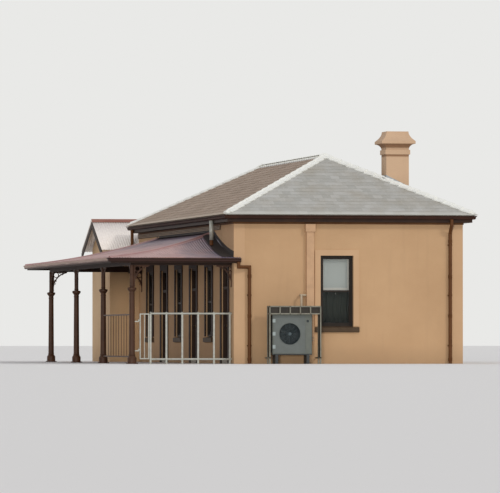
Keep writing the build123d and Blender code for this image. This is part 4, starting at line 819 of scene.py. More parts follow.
def slates():
    """Slates on each of the four slopes."""
    slope_length = roof_half / math.cos(ROOF_PITCH)
    middle_y = (roof_y0 + roof_y1) / 2
    across, along = roof_x1 - roof_x0, roof_y1 - roof_y0
    slopes = (
        ("near", (ridge_x, roof_y0), (0, 1), across, SLATE),
        ("road", (roof_x1, middle_y), (-1, 0), along, SLATE),
        ("far", (ridge_x, roof_y1), (0, -1), across, SLATE),
        ("platform", (roof_x0, middle_y), (1, 0), along, MOSSY_SHADED_SLATE),
    )
    for seed, (name, eave_middle, inward, eave_length, finish) in enumerate(slopes, start=3):
        mesh = grown(SLATE_TREE, {
            "Eave Length": eave_length, "Slope Length": slope_length,
            "Run Per Length": math.cos(ROOF_PITCH), "Slate Width": SLATE_WIDTH,
            "Gauge": SLATE_GAUGE, "Thickness": SLATE_THICK, "Seed": seed, "Material": finish,
        })
        trim_on_hips(mesh, eave_length, slope_length)
        mesh.transform(Matrix.Translation((0, 0, SLATE_THICK)))
        mesh.transform(slope_frame((*eave_middle, eave_z), inward, slope_length / 2))
        piece(f"slates_{name}", mesh, finish)


def capping_section(fall):
    """The section of a folded capping with a low roll, over two slopes that fall away from it."""
    edge = TILE_LEAF * fall
    roll_foot = (0.032, -0.032 * fall)
    over = [(-TILE_LEAF, -edge), (-roll_foot[0], roll_foot[1]), (-0.02, 0.014), (0.0, 0.024),
            (0.02, 0.014), roll_foot, (TILE_LEAF, -edge)]
    bed = 0.03
    return over + [(TILE_LEAF, -edge - bed), (0.0, -bed), (-TILE_LEAF, -edge - bed)]


def hip_cappings():
    """Short lengths of capping up the hips and along the ridge, each lapped over the next one down."""
    near_top = Vector((ridge_x, roof_y0 + roof_half, ridge_z))
    far_top = Vector((ridge_x, roof_y1 - roof_half, ridge_z))
    ridge_fall = math.tan(ROOF_PITCH)
    hip_fall = math.tan(math.acos(math.cos(ROOF_PITCH) ** 2) / 2)
    lines = [(near_top, far_top, ridge_fall)]
    for x in (roof_x0, roof_x1):
        lines.append((Vector((x, roof_y0, eave_z)), near_top, hip_fall))
        lines.append((Vector((x, roof_y1, eave_z)), far_top, hip_fall))
    foot_lift, head_lift, from_end = 0.056, 0.034, 0.1
    meshes = []
    for start, end, fall in lines:
        way = (end - start).normalized()
        rise = way.cross(Vector((0, 0, 1))).normalized().cross(way)
        tile = swept([rise * foot_lift, way * TILE_LENGTH + rise * head_lift], capping_section(fall))
        first = start + way * (from_end if fall == hip_fall else 0.0)
        meshes.append(row(tile, first, end - way * (TILE_LENGTH - from_end), TILE_PITCH, CAPPING))
    piece("hip_cappings", meshes, CAPPING)


def chimney_head():
    """The moulded head, cove, lip and rounded top round the flue, in the place of the plain one."""
    low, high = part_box("chimney_cornice")
    middle = (low + high) / 2
    reach = (high.x - low.x) / 2
    cove, lip = HEAD_COVE, HEAD_LIP
    top_half = reach * HEAD_TOP_SHARE
    steps = 7
    angles = [math.pi / 2 * i / steps for i in range(steps + 1)]
    lip_z = low.z + cove
    profile = [(reach - cove * math.cos(a), low.z + cove * math.sin(a)) for a in angles]
    arris = 0.012
    profile += [(reach, lip_z + arris), (reach, lip_z + lip)]
    crown = high.z - lip_z - lip
    profile += [
        (top_half + (reach - top_half) * (1 - i / steps) ** 2, lip_z + lip + crown * i / steps)
        for i in range(1, steps + 1)
    ]
    flue_half, rim, flue_depth = 0.115, 0.01, 0.3
    profile += [
        (flue_half + rim, high.z), (flue_half, high.z - rim), (flue_half, high.z - flue_depth),
    ]
    head = turned([(half * math.sqrt(2), z) for half, z in profile], sides=4)
    head.transform(Matrix.Translation((middle.x, middle.y, 0)) @ Matrix.Rotation(math.pi / 4, 4, "Z"))
    made = piece("chimney_head", head, CHIMNEY_RENDER)
    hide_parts("chimney_cornice")


def chimney_flashing():
    """A lead apron round the foot of the stack, dressed over the slates."""
    low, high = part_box("chimney_shaft")
    band, thick, skirt = 0.032, 0.006, 0.14
    upstand, fold, face, bed = 0.15, 0.03, 0.026, 0.018

    def slope_z(x):
        return eave_z + (roof_x1 - x) * math.tan(ROOF_PITCH)

    vertices = []
    for side, end in ((-1, -1), (1, -1), (1, 1), (-1, 1)):
        x = high.x - band if side > 0 else low.x + band
        y = high.y - band if end > 0 else low.y + band
        foot = slope_z(x)
        out_x, out_y = x + side * thick, y + end * thick
        far_x, far_y = x + side * skirt, y + end * skirt
        vertices += [
            (x, y, foot + upstand), (out_x, out_y, foot + upstand), (out_x, out_y, foot + fold),
            (far_x, far_y, slope_z(far_x) + face), (far_x, far_y, slope_z(far_x) + bed),
            (x, y, foot + bed),
        ]
    mesh = outward(mesh_of("flashing", vertices, ring_faces(4, 6, closed=True)))
    piece("chimney_flashing", mesh, FLASHING)


def gutter_straps():
    """Flat straps that hold the gutters, one every 0.9 m round the eaves."""
    low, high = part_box("main_gutters")
    wide, half_thick, from_end = 0.024, 0.003, 0.4
    inset = GUTTER_WIDTH / 2
    lines = [((GUTTER_WIDTH, wide), (x, low.y + from_end), (x, high.y - from_end))
             for x in (low.x + inset, high.x - inset)]
    lines += [((wide, GUTTER_WIDTH), (low.x + from_end, y), (high.x - from_end, y))
              for y in (low.y + inset, high.y - inset)]
    meshes = []
    for (a, b), start, end in lines:
        strap = box_mesh((-a / 2, -b / 2, -half_thick), (a / 2, b / 2, half_thick), 0.001)
        meshes.append(row(strap, (*start, high.z), (*end, high.z), BRACKET_SPACING, BROWN_GUTTER))
    piece("gutter_straps", meshes, BROWN_GUTTER)


# Verandah roof

front_low, front_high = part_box("verandah_roof_front")
near_low, near_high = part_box("verandah_roof_near_end")
sheet_reach = front_high.x - front_low.x
edge_z = front_low.z + SHEET_THICK
wall_z = front_high.z


def sheet_curve():
    """Centre and radius of the curve that the iron follows down from the wall."""
    rise = wall_z - edge_z
    chord = math.hypot(sheet_reach, rise)
    radius = (chord ** 2 / 4 + SHEET_SAG ** 2) / (2 * SHEET_SAG)
    away = radius - SHEET_SAG
    middle_z = (edge_z + wall_z) / 2
    return sheet_reach / 2 - away * rise / chord, middle_z + away * sheet_reach / chord, radius


curve_x, curve_z, curve_radius = sheet_curve()


def curve_point(distance):
    """Height and slope of the iron at a distance in from its edge."""
    run = distance - curve_x
    drop = math.sqrt(curve_radius ** 2 - run ** 2)
    return curve_z - drop, run / drop


def down_curve(first, last, steps, place_of):
    """Points on the iron between two distances in from its edge, whose (x, y) a function gives."""
    distances = [first + (last - first) * i / steps for i in range(steps + 1)]
    return [(*place_of(distance), curve_point(distance)[0]) for distance in distances]


def ribbed_sheet(name, length, span, surface, rows=14):
    """Corrugated iron as a thin closed shell. span gives both ends of the rib at a place along it."""
    columns = round(length / RIB_PITCH) * RIB_STEPS
    vertices = []
    for i in range(columns + 1):
        along = length * i / columns
        wave = RIB_DEPTH / 2 * (math.cos(2 * math.pi * i / RIB_STEPS) - 1)
        start, end = span(along)
        face = [surface(along, start + (end - start) * j / rows) for j in range(rows + 1)]
        vertices += [point + normal * wave for point, normal in face]
        vertices += [point + normal * (wave - IRON_THICK) for point, normal in reversed(face)]
    return outward(mesh_of(name, vertices, ring_faces(columns + 1, 2 * rows + 2)))


def hip_reach(*distances):
    """How far up the iron goes before it meets a hip, from its distances to the ends."""
    trim, least = 0.012, 0.002
    return max(min(*distances, sheet_reach) - trim, least)


def front_iron():
    """Iron over the front, between the two hips."""
    length = front_high.y - front_low.y

    def surface(along, distance):
        z, slope = curve_point(distance)
        return Vector((front_low.x + distance, front_low.y + along, z)), Vector((-slope, 0, 1)).normalized()

    return ribbed_sheet("iron_front", length, lambda a: (0.0, hip_reach(a, length - a)), surface)


def end_iron(end, way):
    """Iron over a hipped end. way is 1 at the near end, where it also meets the wall, and else -1."""
    low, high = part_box(f"verandah_roof_{end}")
    edge_y = low.y if way > 0 else high.y

    def surface(along, distance):
        z, slope = curve_point(distance)
        normal = Vector((0, -way * slope, 1)).normalized()
        return Vector((low.x + along, edge_y + way * distance, z)), normal

    def span(along):
        before_wall = way > 0 and low.x + along > CORNER_X
        return 0.0, CORNER_Y - edge_y if before_wall else hip_reach(along)

    return ribbed_sheet(f"iron_{end}", high.x - low.x, span, surface)


def verandah_iron():
    """Corrugated iron over the front and the two hipped ends, in the place of the plain sheets."""
    sheets = (
        ("front", front_iron()), ("near_end", end_iron("near_end", 1)),
        ("far_end", end_iron("far_end", -1)),
    )
    for name, mesh in sheets:
        made = piece(f"iron_{name}", mesh, RED_IRON, smooth=True)
        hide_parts(f"verandah_roof_{name}")


def verandah_hip_cappings():
    """A rolled capping bent down each hip of the verandah."""
    half = [(0.09, -0.022), (0.035, 0.0), (0.026, 0.022)]
    section = [(-a, b) for a, b in half] + [(0.0, 0.034)] + half[::-1]
    section += [(0.085, -0.03), (0.0, -0.004), (-0.085, -0.03)]
    inset = 0.01
    meshes = []
    for edge_y, way in ((front_low.y, 1), (front_high.y, -1)):
        points = down_curve(
            inset, sheet_reach - inset, 18, lambda d: (front_low.x + d, edge_y + way * d)
        )
        meshes.append(swept(points, section))
    piece("verandah_hip_cappings", meshes, HIP_IRON)


def verandah_wall_flashing():
    """A strip of sheet dressed down from the wall over the top of the iron, near-black and wide as painted
    shade from the main eave.
    """
    x = front_high.x
    ys = (front_low.y + sheet_reach, front_high.y - sheet_reach)
    section = [(0.0, 0.11), (-0.006, 0.11), (-0.006, 0.018), (-0.13, -0.012), (-0.13, -0.016), (0.0, 0.01)]
    meshes = [swept([(x, y, wall_z) for y in ys], section)]
    section = [(0.0, 0.16), (0.006, 0.16), (0.006, 0.03), (0.32, 0.012), (0.32, 0.004), (0.0, 0.01)]
    for edge_y, way, start in ((front_low.y, 1, CORNER_Y - front_low.y), (front_high.y, -1, 0.0)):
        points = down_curve(start, sheet_reach - 0.25, 14, lambda d: (x, edge_y + way * d))
        meshes.append(swept(points, [(-way * a, b) for a, b in section]))
    piece("verandah_wall_flashing", meshes, PAINTED_SHADE_IRON)


# Wing roof

def wing_iron():
    """Corrugated iron on the two slopes of the wing, in the place of the plain slabs."""
    low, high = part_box("wing_roof_near_slope")
    far_low, far_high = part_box("wing_roof_far_slope")
    ridge_y = far_low.y
    run = far_high.y - ridge_y
    slope = math.tan(ROOF_PITCH)
    eave = high.z - run * slope
    block_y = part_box("far_wall")[1].y
    block_x1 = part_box("near_wall")[1].x
    for end, way in (("near", -1), ("far", 1)):

        def surface(along, distance):
            point = Vector((low.x + along, ridge_y + way * (run - distance), eave + distance * slope))
            return point, Vector((0, way * slope, 1)).normalized()

        def span(along):
            meets_block = way < 0 and CORNER_X < low.x + along < block_x1
            return run - (ridge_y - block_y) if meets_block else 0.0, run

        mesh = ribbed_sheet(f"wing_iron_{end}", high.x - low.x, span, surface, rows=2)
        made = piece(f"wing_iron_{end}", mesh, WING_IRON, smooth=True)
        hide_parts(f"wing_roof_{end}_slope")


# Walls

def corner_bands():
    """Smooth plaster strips at both ends of the near wall, a little proud of the render."""
    low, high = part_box("near_wall")
    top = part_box("eave_friezes")[0].z
    y0 = CORNER_Y - CORNER_BAND_THICK
    spans = [((x, y0, 0), (x + CORNER_BAND_WIDTH, CORNER_Y, top))
             for x in (low.x, high.x - CORNER_BAND_WIDTH)]
    piece("corner_bands", boxes(spans, 0.003), BAND_RENDER)


def eave_boards():
    """Dark boarding, as painted shade under the eaves, with paler battens, on the strip of wall between the
    verandah and the eaves.
    """
    board_out, batten_out, batten_width, above_iron = 0.02, 0.042, 0.026, 0.05
    board_x, batten_x = CORNER_X - board_out, CORNER_X - batten_out
    y0, y1 = CORNER_Y + EAVE_BOARD_SETBACK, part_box("far_wall")[1].y
    z0, z1 = wall_z + above_iron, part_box("eave_friezes")[0].z
    # The dark boards stand as painted shade under the eaves.
    board = [((board_x, y0, z0), (CORNER_X, y1, z1))]
    piece("eave_boards", boxes(board, 0.002), BROWN_TIMBER)
    feet = [z0 + (z1 - z0) / BATTEN_COUNT * (i + 0.35) for i in range(BATTEN_COUNT)]
    battens = [((batten_x, y0, z), (board_x, y1, z + batten_width)) for z in feet]
    piece("eave_battens", boxes(battens, 0.003), PALE_BATTEN_TIMBER)


def opening_ys():
    """The middles of the openings along the platform, from the near end."""
    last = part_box("far_wall")[1].y - LAST_OPENING_GAP
    first = CORNER_Y + FIRST_OPENING_Y
    return [first + (last - first) * i / (OPENING_COUNT - 1) for i in range(OPENING_COUNT)]


def window_places():
    """Where the sash windows stand, with the platform's apart from those of the other walls.

    x runs along the wall, y into the room and z up from the window's foot.
    """
    quarter = Matrix.Rotation(math.pi / 2, 4, "Z")
    foot = DOOR_OPENING_TOP - WINDOW_HEIGHT
    near = [Matrix.Translation((CORNER_X + NEAR_WINDOW_X, CORNER_Y, WINDOW_SILL_Z))]
    platform = [
        Matrix.Translation((CORNER_X - PLATFORM_WINDOW_SHIFT, y, foot)) @ quarter.inverted()
        for y in opening_ys()[1::2]
    ]
    road_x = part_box("near_wall")[1].x
    road = [Matrix.Translation((road_x, y, WINDOW_SILL_Z)) @ quarter for y in opening_ys()]
    return near + road, platform


def architraves():
    """Flat dark boards round the doors and windows under the verandah."""
    x0 = CORNER_X - ARCHITRAVE_THICK
    wide = ARCHITRAVE_WIDTH
    top = DOOR_OPENING_TOP
    lip_side, lip_out, lip_thick = 0.02, 0.012, 0.03
    spans = []
    for number, y in enumerate(opening_ys()):
        is_window = number % 2
        half = (WINDOW_WIDTH if is_window else DOOR_OPENING_WIDTH) / 2
        foot = top - WINDOW_HEIGHT if is_window else 0
        for side in (-half - wide, half):
            spans.append(((x0, y + side, foot), (CORNER_X, y + side + wide, top)))
        spans.append(((x0, y - half - wide, top), (CORNER_X, y + half + wide, top + wide)))
        lip = half + wide + lip_side
        spans.append(((x0 - lip_out, y - lip, top + wide), (CORNER_X, y + lip, top + wide + lip_thick)))
    piece("architraves", boxes(spans, 0.003), BROWN_TIMBER)


def blinds():
    """Holland blinds with hems and a cord, in the place of the plain ones; those in the platform windows are
    dark brown as painted shade under the verandah.
    """
    pale_places, platform = window_places()
    half, top = PANE_HALF, PANE_TOP
    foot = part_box("window_blinds")[0].z - (DOOR_OPENING_TOP - WINDOW_HEIGHT)
    hem, thick, cord_out, cord_radius = 0.085, 0.004, 0.004, 0.0015
    y1 = WINDOW_SETBACK + WINDOW_FRAME_DEPTH
    y0 = y1 - thick
    hem_y0, hem_y1, cord_y = y0 - 0.0015, y0 + 0.001, y0 - cord_out
    cloth = box_mesh((-half, y0, foot), (half, y1, top))
    hems = boxes([
        ((-half, hem_y0, foot), (-half + hem, hem_y1, top)),
        ((half - hem, hem_y0, foot), (half, hem_y1, top)),
        ((-half + hem, hem_y0, foot), (half - hem, hem_y1, foot + 0.8 * hem)),
    ])
    roll_ends = [(x, y1 - 0.016, top - 0.02) for x in (-half + 0.01, half - 0.01)]
    roll = swept(roll_ends, ring_section(0.015, 12))
    cord_ends = [(0, cord_y, foot - 0.09), (0, cord_y, foot + 0.02)]
    cord = swept(cord_ends, ring_section(cord_radius, 6), (0, 1, 0))
    acorn = [(0.0, 0.0), (0.006, 0.002), (0.009, 0.012), (0.006, 0.024), (0.0, 0.026)]
    edges = [hems, cord, turned(acorn, (0, cord_y, foot - 0.115), sides=10)]
    made = piece("blinds", copies([cloth, roll], pale_places), BLIND)
    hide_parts("window_blinds")
    piece("blind_hems", copies(edges, pale_places), BLIND_HEM)
    piece("brown_blinds", copies([cloth, roll, *edges], platform), BROWN_BLIND_PAINTED_SHADE)


def curtains():
    """Net curtains in soft folds behind the lower panes of the near and road windows, dark green-grey as
    painted shade of the room behind.
    """
    places, _ = window_places()
    side_gap, behind_frame, count, thick = 0.02, 0.05, 96, 0.002
    half = PANE_HALF - side_gap
    y = WINDOW_SETBACK + WINDOW_FRAME_DEPTH + behind_frame
    levels = [(0.03, 1.0), (0.5, 0.8), (WINDOW_HEIGHT * 0.56, 0.45)]
    vertices = []
    for i in range(count + 1):
        x = -half + 2 * half * i / count
        fold = sum(depth * math.sin(x * rate + start) for depth, rate, start in CURTAIN_FOLDS)
        vertices += [(x, y + deep * fold, z) for z, deep in levels]
        vertices += [(x, y + thick + deep * fold, z) for z, deep in reversed(levels)]
    net = outward(mesh_of("net", vertices, ring_faces(count + 1, 2 * len(levels))))
    piece("curtains", copies([net], places), CURTAIN, smooth=True)


def window_beads():
    """A bead up both sides and across the top of each window frame."""
    places, platform = window_places()
    half, foot, top = PANE_HALF, WINDOW_FRAME_FACE, PANE_TOP
    y0, y1 = WINDOW_SETBACK - 0.004, WINDOW_SETBACK + 0.016
    bead = 0.014
    beads = boxes([
        ((-half, y0, foot), (-half + bead, y1, top)),
        ((half - bead, y0, foot), (half, y1, top)),
        ((-half + bead, y0, top - bead), (half - bead, y1, top)),
    ], 0.002)
    piece("window_beads", copies([beads], places + platform), SASH_PAINT)


def door_furniture():
    """A rose behind each knob and an escutcheon under it, on both faces of each door."""
    rose = [(0.0, 0.0), (0.036, 0.0), (0.036, 0.003), (0.026, 0.007), (0.0, 0.008)]
    plate = [(0.0, 0.0), (0.016, 0.0), (0.016, 0.002), (0.012, 0.004), (0.0, 0.004)]
    knob_from_edge, face_in, plate_drop = 0.0575, 0.062, 0.1
    for number in (1, 2, 3):
        name = f"platform_door_{number}"
        low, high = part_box(name)
        y = high.y - knob_from_edge
        meshes = []
        for x, way in ((low.x + face_in, -1), (high.x - face_in, 1)):
            meshes.append(turned(rose, (x, y, KNOB_HEIGHT), (way, 0, 0), 20))
            meshes.append(turned(plate, (x, y, KNOB_HEIGHT - plate_drop), (way, 0, 0), 14))
        piece(f"door_furniture_{number}", meshes, BRASS, name, True)


# Ironwork and pipes

def iron_screws():
    """Roofing screws with dished washers on the crests of the verandah's iron."""
    head = [(0.0, 0.0), (0.014, 0.0), (0.014, 0.002), (0.007, 0.004), (0.006, 0.009), (0.0, 0.011)]
    from_hip, from_wall = 0.1, 0.12
    front_length = front_high.y - front_low.y
    end_length = near_high.x - near_low.x
    end_reach = CORNER_X - near_low.x - from_wall
    far_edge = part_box("verandah_roof_far_end")[1].y
    along_front, along_end = Vector((0, 1, 0)), Vector((1, 0, 0))
    meshes = []
    for distance in SCREW_LINES:
        z, slope = curve_point(distance)
        lines = (
            (front_length, None, (front_low.x + distance, front_low.y, z), along_front, (-slope, 0, 1)),
            (end_length, end_reach, (near_low.x, near_low.y + distance, z), along_end, (0, -slope, 1)),
            (end_length, end_reach, (near_low.x, far_edge - distance, z), along_end, (0, slope, 1)),
        )
        for length, reach, origin, way, normal in lines:
            ribs = round(length / RIB_PITCH)
            rib = length / ribs
            first = math.ceil((distance + from_hip) / rib) + 1
            last = ribs - first if reach is None else reach / rib
            count = int(last - first) // RIBS_PER_SCREW
            if count < 1:
                continue
            start = Vector(origin) + way * first * rib
            end = start + way * count * RIBS_PER_SCREW * rib
            screw = turned(head, axis=normal, sides=8)
            meshes.append(row(screw, start, end, rib * RIBS_PER_SCREW, SCREW))
    piece("iron_screws", meshes, SCREW)


def post_centres():
    """The middles of the verandah's posts, from the near end."""
    low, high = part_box("verandah_posts")
    first, last = low.y + POST_HALF, high.y - POST_HALF
    step = (last - first) / (POST_COUNT - 1)
    return [(low.x + POST_HALF, first + i * step) for i in range(POST_COUNT)]


def post_fittings():
    """A bolted floor flange, necking rings and a bead on each verandah post."""
    half, thick = POST_FLANGE_HALF, 0.014
    bolt = [(0.0, 0.0), (0.014, 0.0), (0.014, 0.012), (0.006, 0.013), (0.006, 0.024), (0.0, 0.024)]
    bolt_out = 0.125
    meshes = []
    for x, y in post_centres():
        meshes.append(box_mesh((x - half, y - half, 0), (x + half, y + half, thick), 0.003))
        for bolt_x in (x - bolt_out, x + bolt_out):
            for bolt_y in (y - bolt_out, y + bolt_out):
                meshes.append(turned(bolt, (bolt_x, bolt_y, thick), sides=6))
        meshes += [round_ring(radius, wire, (x, y, z)) for radius, wire, z in POST_RINGS]
    piece("post_fittings", meshes, CAST_IRON, smooth=True)


def bracket_scrolls():
    """Small cast rings that fill the eyes of the brackets."""
    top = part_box("verandah_brackets")[1].z
    from_post, wire = 0.056, 0.007
    centres = post_centres()
    arms = [(CORNER_X, y, -1, 0) for _, y in (centres[0], centres[-1])]
    for number, (x, y) in enumerate(centres):
        at_end = number in (0, POST_COUNT - 1)
        ways = [(0, 1)] * (number < POST_COUNT - 1) + [(0, -1)] * (number > 0) + [(1, 0)] * at_end
        arms += [(x + u * from_post, y + v * from_post, u, v) for u, v in ways]
    meshes = [
        round_ring(radius, wire, (x + u * out, y + v * out, top - down), (v, u, 0), 16)
        for x, y, u, v in arms for out, down, radius in BRACKET_RINGS
    ]
    piece("bracket_scrolls", meshes, CAST_IRON, smooth=True)


def pipe_collars():
    """Sockets up each tall downpipe, and the pale sleeve over the near spreader."""
    collar = [(0.047, -0.045), (0.054, -0.045), (0.056, -0.04), (0.056, 0.03), (0.06, 0.035),
              (0.06, 0.045), (0.047, 0.045)]
    pipe_y = CORNER_Y - PIPE_STANDOFF
    pipes = ((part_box("near_wall")[1].x - ROAD_PIPE_INSET, COLLAR_HEIGHTS),
             (CORNER_X + VERANDAH_PIPE_X, COLLAR_HEIGHTS[:-1]))
    meshes = [lathe(collar, (x, pipe_y, z), sides=20) for x, heights in pipes for z in heights]
    piece("pipe_collars", meshes, BROWN_PIPE, smooth=True)
    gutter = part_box("main_gutters")[0]
    x = gutter.x + GUTTER_WIDTH * 0.55
    y = CORNER_Y + SPREADER_Y
    inner, outer, above_iron, below_gutter = 0.051, 0.058, 0.17, 0.01
    foot = curve_point(min(x - front_low.x, y - near_low.y))[0] + above_iron
    top = gutter.z - below_gutter
    sleeve = [(inner, foot), (outer, foot), (outer, top), (inner, top)]
    piece("spreader_sleeve", lathe(sleeve, (x, y, 0), sides=24), TUBE, smooth=True)


def railing_feet():
    """Round flanges under the posts of the near railing, and caps on their tops."""
    low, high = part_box("end_railing")
    y = (low.y + high.y) / 2
    tube_radius, from_wall = 0.023, 0.055
    first, last = low.x + tube_radius, CORNER_X - from_wall
    flange = [(0.0, 0.0), (0.06, 0.0), (0.06, 0.006), (0.05, 0.01), (0.0, 0.01)]
    cap = [(0.0, 0.0), (0.031, 0.0), (0.031, 0.008), (0.02, 0.02), (0.0, 0.024)]
    meshes = [
        row(turned(profile, sides=18), (first, y, z), (last, y, z), (last - first) / RAILING_BAYS, TUBE)
        for profile, z in ((flange, 0), (cap, high.z - 0.004))
    ]
    piece("railing_feet", meshes, TUBE)


# Cooling unit and its guard

unit_low, unit_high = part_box("unit_casing")
grille_low, grille_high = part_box("unit_fan_grille")
fan_x, fan_z = (grille_low.x + grille_high.x) / 2, (grille_low.z + grille_high.z) / 2
fan_radius = (grille_high.x - grille_low.x) / 2
plate_low = (unit_low.x + PLATE_MARGIN, unit_low.z + PLATE_FOOT)
plate_high = (2 * fan_x - plate_low[0] - PLATE_SHORT, unit_high.z - PLATE_DROP)


def guard():
    """The guard's bars with eased edges and bolts, in the place of the plain ones, and its sheets,
    near-black as painted shade.
    """
    low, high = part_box("unit_guard")
    bar, top = GUARD_BAR, high.z
    x0, x1, y0 = low.x, high.x, low.y
    y1 = CORNER_Y - GUARD_GAP
    rails = (top - GUARD_BAND - bar, top - bar)
    spans = []
    for x in (x0, x1 - bar):
        spans.append(((x, y0, 0), (x + bar, y0 + bar, top)))
        spans.append(((x, y1 - bar, 0), (x + bar, y1, top)))
        spans.append(((x, y0, GUARD_FOOT), (x + bar, CORNER_Y, GUARD_FOOT + bar)))
        spans += [((x, y0, z), (x + bar, y1, z + bar)) for z in rails]
    spans += [((x0, y0, z), (x1, y0 + bar, z + bar)) for z in rails]
    step = (x1 - x0 - bar) / (GUARD_STRUTS + 1)
    for i in range(1, GUARD_STRUTS + 1):
        x = x0 + i * step
        spans.append(((x, y0, rails[0]), (x + bar, y0 + bar, top)))
    made = piece("guard_bars", boxes(spans, 0.004), GUARD_STEEL)
    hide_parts("unit_guard")
    bolt = turned([(0.0, 0.0), (0.009, 0.0), (0.008, 0.004), (0.0, 0.006)], axis=(0, -1, 0), sides=8)
    ends = (x0 + bar / 2, x1 - bar / 2)
    bolts = [
        row(bolt, (ends[0], y0, z + bar / 2), (ends[1], y0, z + bar / 2), step, SCREW) for z in rails
    ]
    piece("guard_bolts", bolts, SCREW)
    # The sheets are near-black: painted shade in the gaps round the unit.
    thin, drop = 0.003, 0.006
    behind = y0 + bar
    sheets = [
        ((x0 + bar, behind, top - GUARD_BAND), (x1 - bar, behind + thin, top - bar)),
        ((x0 + bar, behind, top - 2 * drop), (x1 - bar, y0 + GUARD_TOP_DEPTH, top - drop)),
    ]
    for x in ends:
        for z0, z1 in ((GUARD_FOOT + bar, rails[0]), (top - GUARD_BAND, rails[1])):
            sheets.append(((x - thin, behind, z0), (x + thin, y1 - bar, z1)))
    piece("guard_sheets", boxes(sheets), PAINTED_SHADE_SHEET)


def plate_with_hole(low, high, middle, radius, y0, y1):
    """An upright plate between two (x, z) corners with a round hole."""
    corners = [(x - middle[0], z - middle[1]) for x in (low[0], high[0]) for z in (low[1], high[1])]
    angles = [2 * math.pi * i / FAN_SIDES for i in range(FAN_SIDES)]
    angles += [math.atan2(z, x) % (2 * math.pi) for x, z in corners]
    angles = sorted(set(round(angle, 6) for angle in angles))
    vertices = []
    for angle in angles:
        u, v = math.cos(angle), math.sin(angle)
        across = (high[0] - middle[0] if u > 0 else middle[0] - low[0]) / max(abs(u), 1e-6)
        upward = (high[1] - middle[1] if v > 0 else middle[1] - low[1]) / max(abs(v), 1e-6)
        far = min(across, upward)
        for reach, y in ((radius, y0), (far, y0), (far, y1), (radius, y1)):
            vertices.append((middle[0] + u * reach, y, middle[1] + v * reach))
    return outward(mesh_of("plate", vertices, ring_faces(len(angles), 4, closed=True)))


def unit_plate():
    """The unit's front plate, with a rolled mouth round the fan."""
    y = unit_low.y
    hole, sunk, mouth_thick, mouth_out = fan_radius + 0.004, 0.002, 0.009, 0.005
    plate = plate_with_hole(plate_low, plate_high, (fan_x, fan_z), hole, y - PLATE_PROUD, y + sunk)
    middle = (fan_x, y - mouth_out, fan_z)
    mouth = round_ring(fan_radius + 0.008, mouth_thick, middle, (0, 1, 0), FAN_SIDES)
    piece("unit_plate", [plate, mouth], PANEL_COAT)


def unit_well():
    """The dark well behind the fan, the round caps on the unit's face and its base."""
    low, high = unit_low, unit_high
    y = low.y
    outer, inner, lip = fan_radius - 0.001, fan_radius - 0.006, 0.012
    well = [(inner, lip), (outer, lip), (outer, FAN_WELL_DEPTH), (inner, FAN_WELL_DEPTH)]
    back_radius, back_thick = fan_radius - 0.004, 0.004
    back = [(0.0, 0.0), (back_radius, 0.0), (back_radius, back_thick), (0.0, back_thick)]
    back_y = y + FAN_WELL_DEPTH - 0.005
    dark = [
        lathe(well, (fan_x, y, fan_z), (0, 1, 0), FAN_SIDES),
        turned(back, (fan_x, back_y, fan_z), (0, 1, 0), FAN_SIDES),
    ]
    from_side, cap_depth = 0.125, 0.005
    for z, size in UNIT_CAPS:
        cap = [(0.0, 0.0), (size, 0.0), (size * 0.8, cap_depth), (0.0, cap_depth)]
        dark.append(turned(cap, (high.x - from_side, y, z), (0, -1, 0), 20))
    inset, proud, height = 0.01, 0.004, 0.026
    base = box_mesh((low.x + inset, y - proud, low.z), (high.x - inset, y, low.z + height), 0.001)
    dark.append(base)
    piece("unit_well", dark, FAN_BLACK)


def unit_trim():
    """The unit's clips, its top lip, the panel beside its plate and the fins on its left."""
    low, high = unit_low, unit_high
    y = low.y
    first, last, proud, height = low.x + 0.004, low.x + 0.085, 0.016, 0.1
    clips = [((first, y - proud, foot), (last, y, foot + height)) for foot in CLIP_HEIGHTS]
    piece("unit_clips", boxes(clips, 0.004), PALE_COAT)
    lip_out, lip_up = 0.006, 0.004
    top_lip = ((low.x - lip_out, y - 0.008, high.z - 0.03),
               (high.x + lip_out, high.y + lip_up, high.z + lip_up))
    seam, margin = 0.012, 0.02
    side_panel = ((plate_high[0] + seam, y - PLATE_PROUD, plate_low[1]),
                  (high.x - margin, y + 0.001, SIDE_PANEL_TOP))
    piece("unit_trim", boxes([top_lip, side_panel], 0.003), COATED_SHEET)
    half_thick, depth, from_end, from_side = 0.001, 0.005, 0.05, 0.03
    fin = box_mesh((-depth, -half_thick, low.z + from_end), (0.0, half_thick, high.z - from_end))
    ends = (low.y + from_side, high.y - from_side)
    fins = row(fin, (low.x, ends[0], 0), (low.x, ends[1], 0), FIN_SPACING, FAN_BLACK)
    piece("unit_fins", fins, FAN_BLACK)


def unit_grille():
    """A guard of fine round wires over the fan, in the place of the plain grille."""
    low, high = grille_low, grille_high
    middle = (low + high) / 2
    radius = (high.x - low.x) / 2 - WIRE_RADIUS
    rings = grown(WIRE_TREE, {
        "Outer Radius": radius, "Spacing": WIRE_SPACING, "Wire Radius": WIRE_RADIUS, "Material": WIRE,
    })
    rings.transform(Matrix.Translation(middle) @ Matrix.Rotation(math.pi / 2, 4, "X"))
    meshes = [rings]
    centre = Vector((middle.x, low.y, middle.z))
    hub_radius = 0.05
    for across, upward in ring_section(1.0, 12):
        way = Vector((across, 0, upward))
        wire = ring_section(WIRE_RADIUS * 1.4, 6)
        meshes.append(swept([centre + way * hub_radius, centre + way * radius], wire, up=(0, 1, 0)))
    hub = [(0.0, 0.0), (hub_radius, 0.0), (0.052, 0.004), (0.046, 0.012), (0.0, 0.014)]
    meshes.append(turned(hub, (middle.x, low.y + 0.004, middle.z), (0, -1, 0), 24))
    made = piece("unit_fan_wires", meshes, WIRE, smooth=True)
    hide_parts("unit_fan_grille")


# Floor, light and camera

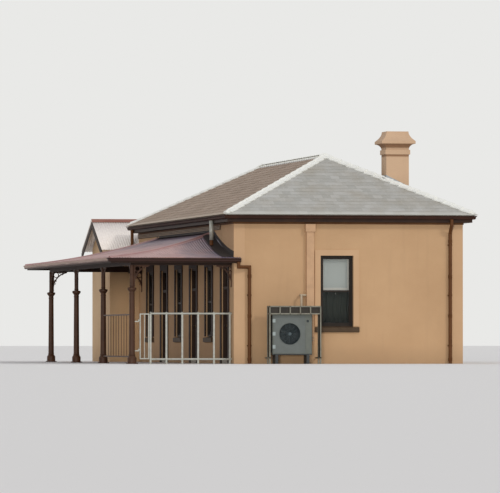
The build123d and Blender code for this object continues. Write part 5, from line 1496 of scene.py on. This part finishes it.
def stage():
    """A plain pale floor, a pale sky and soft light."""
    size = 600
    corners = [(-size, -size, 0), (size, -size, 0), (size, size, 0), (-size, size, 0)]
    mesh = mesh_of("floor_plane", corners, [(0, 1, 2, 3)])
    mesh.materials.append(finish_named("pale_floor", "#e4e2dd", 0.95)[0])
    ground = new_object("studio_floor", mesh)
    ground.location.z = -0.002
    world = bpy.data.worlds.new("studio")
    bpy.context.scene.world = world
    world.use_nodes = True
    sky = world.node_tree
    sky.nodes.clear()
    seen = add(sky, "ShaderNodeBackground", {"Color": linear("#e9e9e7"), "Strength": 1.0})
    light = add(sky, "ShaderNodeBackground", {"Color": linear("#f4f6ff"), "Strength": 0.68})
    path = add(sky, "ShaderNodeLightPath").outputs
    straight = maths(sky, "MAXIMUM", path["Is Camera Ray"], path["Is Transmission Ray"])
    clear = maths(sky, "MAXIMUM", straight, path["Is Glossy Ray"])
    mixed = add(sky, "ShaderNodeMixShader", {0: clear, 1: light, 2: seen})
    add(sky, "ShaderNodeOutputWorld", {"Surface": mixed})
    for name, strength, toward in (
        ("soft_sun", 0.85, (0.5, -0.66, 0.56)), ("low_sun", 0.95, (-0.3, -0.95, 0.05)),
    ):
        lamp = bpy.data.lights.new(name, "SUN")
        lamp.energy = strength
        lamp.angle = math.radians(8)
        lamp.color = (1.0, 0.965, 0.91)
        new_object(name, lamp).rotation_euler = Vector(toward).to_track_quat("Z", "Y").to_euler()
    bpy.context.scene.view_settings.view_transform = "Standard"


def camera():
    """The photograph's own viewpoint."""
    lens = bpy.data.cameras.new("camera")
    lens.lens = CAMERA_LENS
    lens.sensor_width = 36
    lens.clip_end = 2000
    made = new_object("camera", lens)
    made.location = Vector((CORNER_X, CORNER_Y, 0)) + CAMERA_FROM_CORNER
    made.rotation_euler = (math.pi / 2 + CAMERA_PITCH, 0, -CAMERA_TURN)
    bpy.context.scene.camera = made


def main():
    for make in (
        finish_nodes, slates, hip_cappings, chimney_head, chimney_flashing, gutter_straps,
        verandah_iron, verandah_hip_cappings, verandah_wall_flashing, wing_iron, iron_screws,
        corner_bands, eave_boards, architraves, blinds, curtains, window_beads, door_furniture,
        post_fittings, bracket_scrolls, pipe_collars, railing_feet, guard, unit_plate, unit_well,
        unit_trim, unit_grille, stage, camera,
    ):
        make()


main()
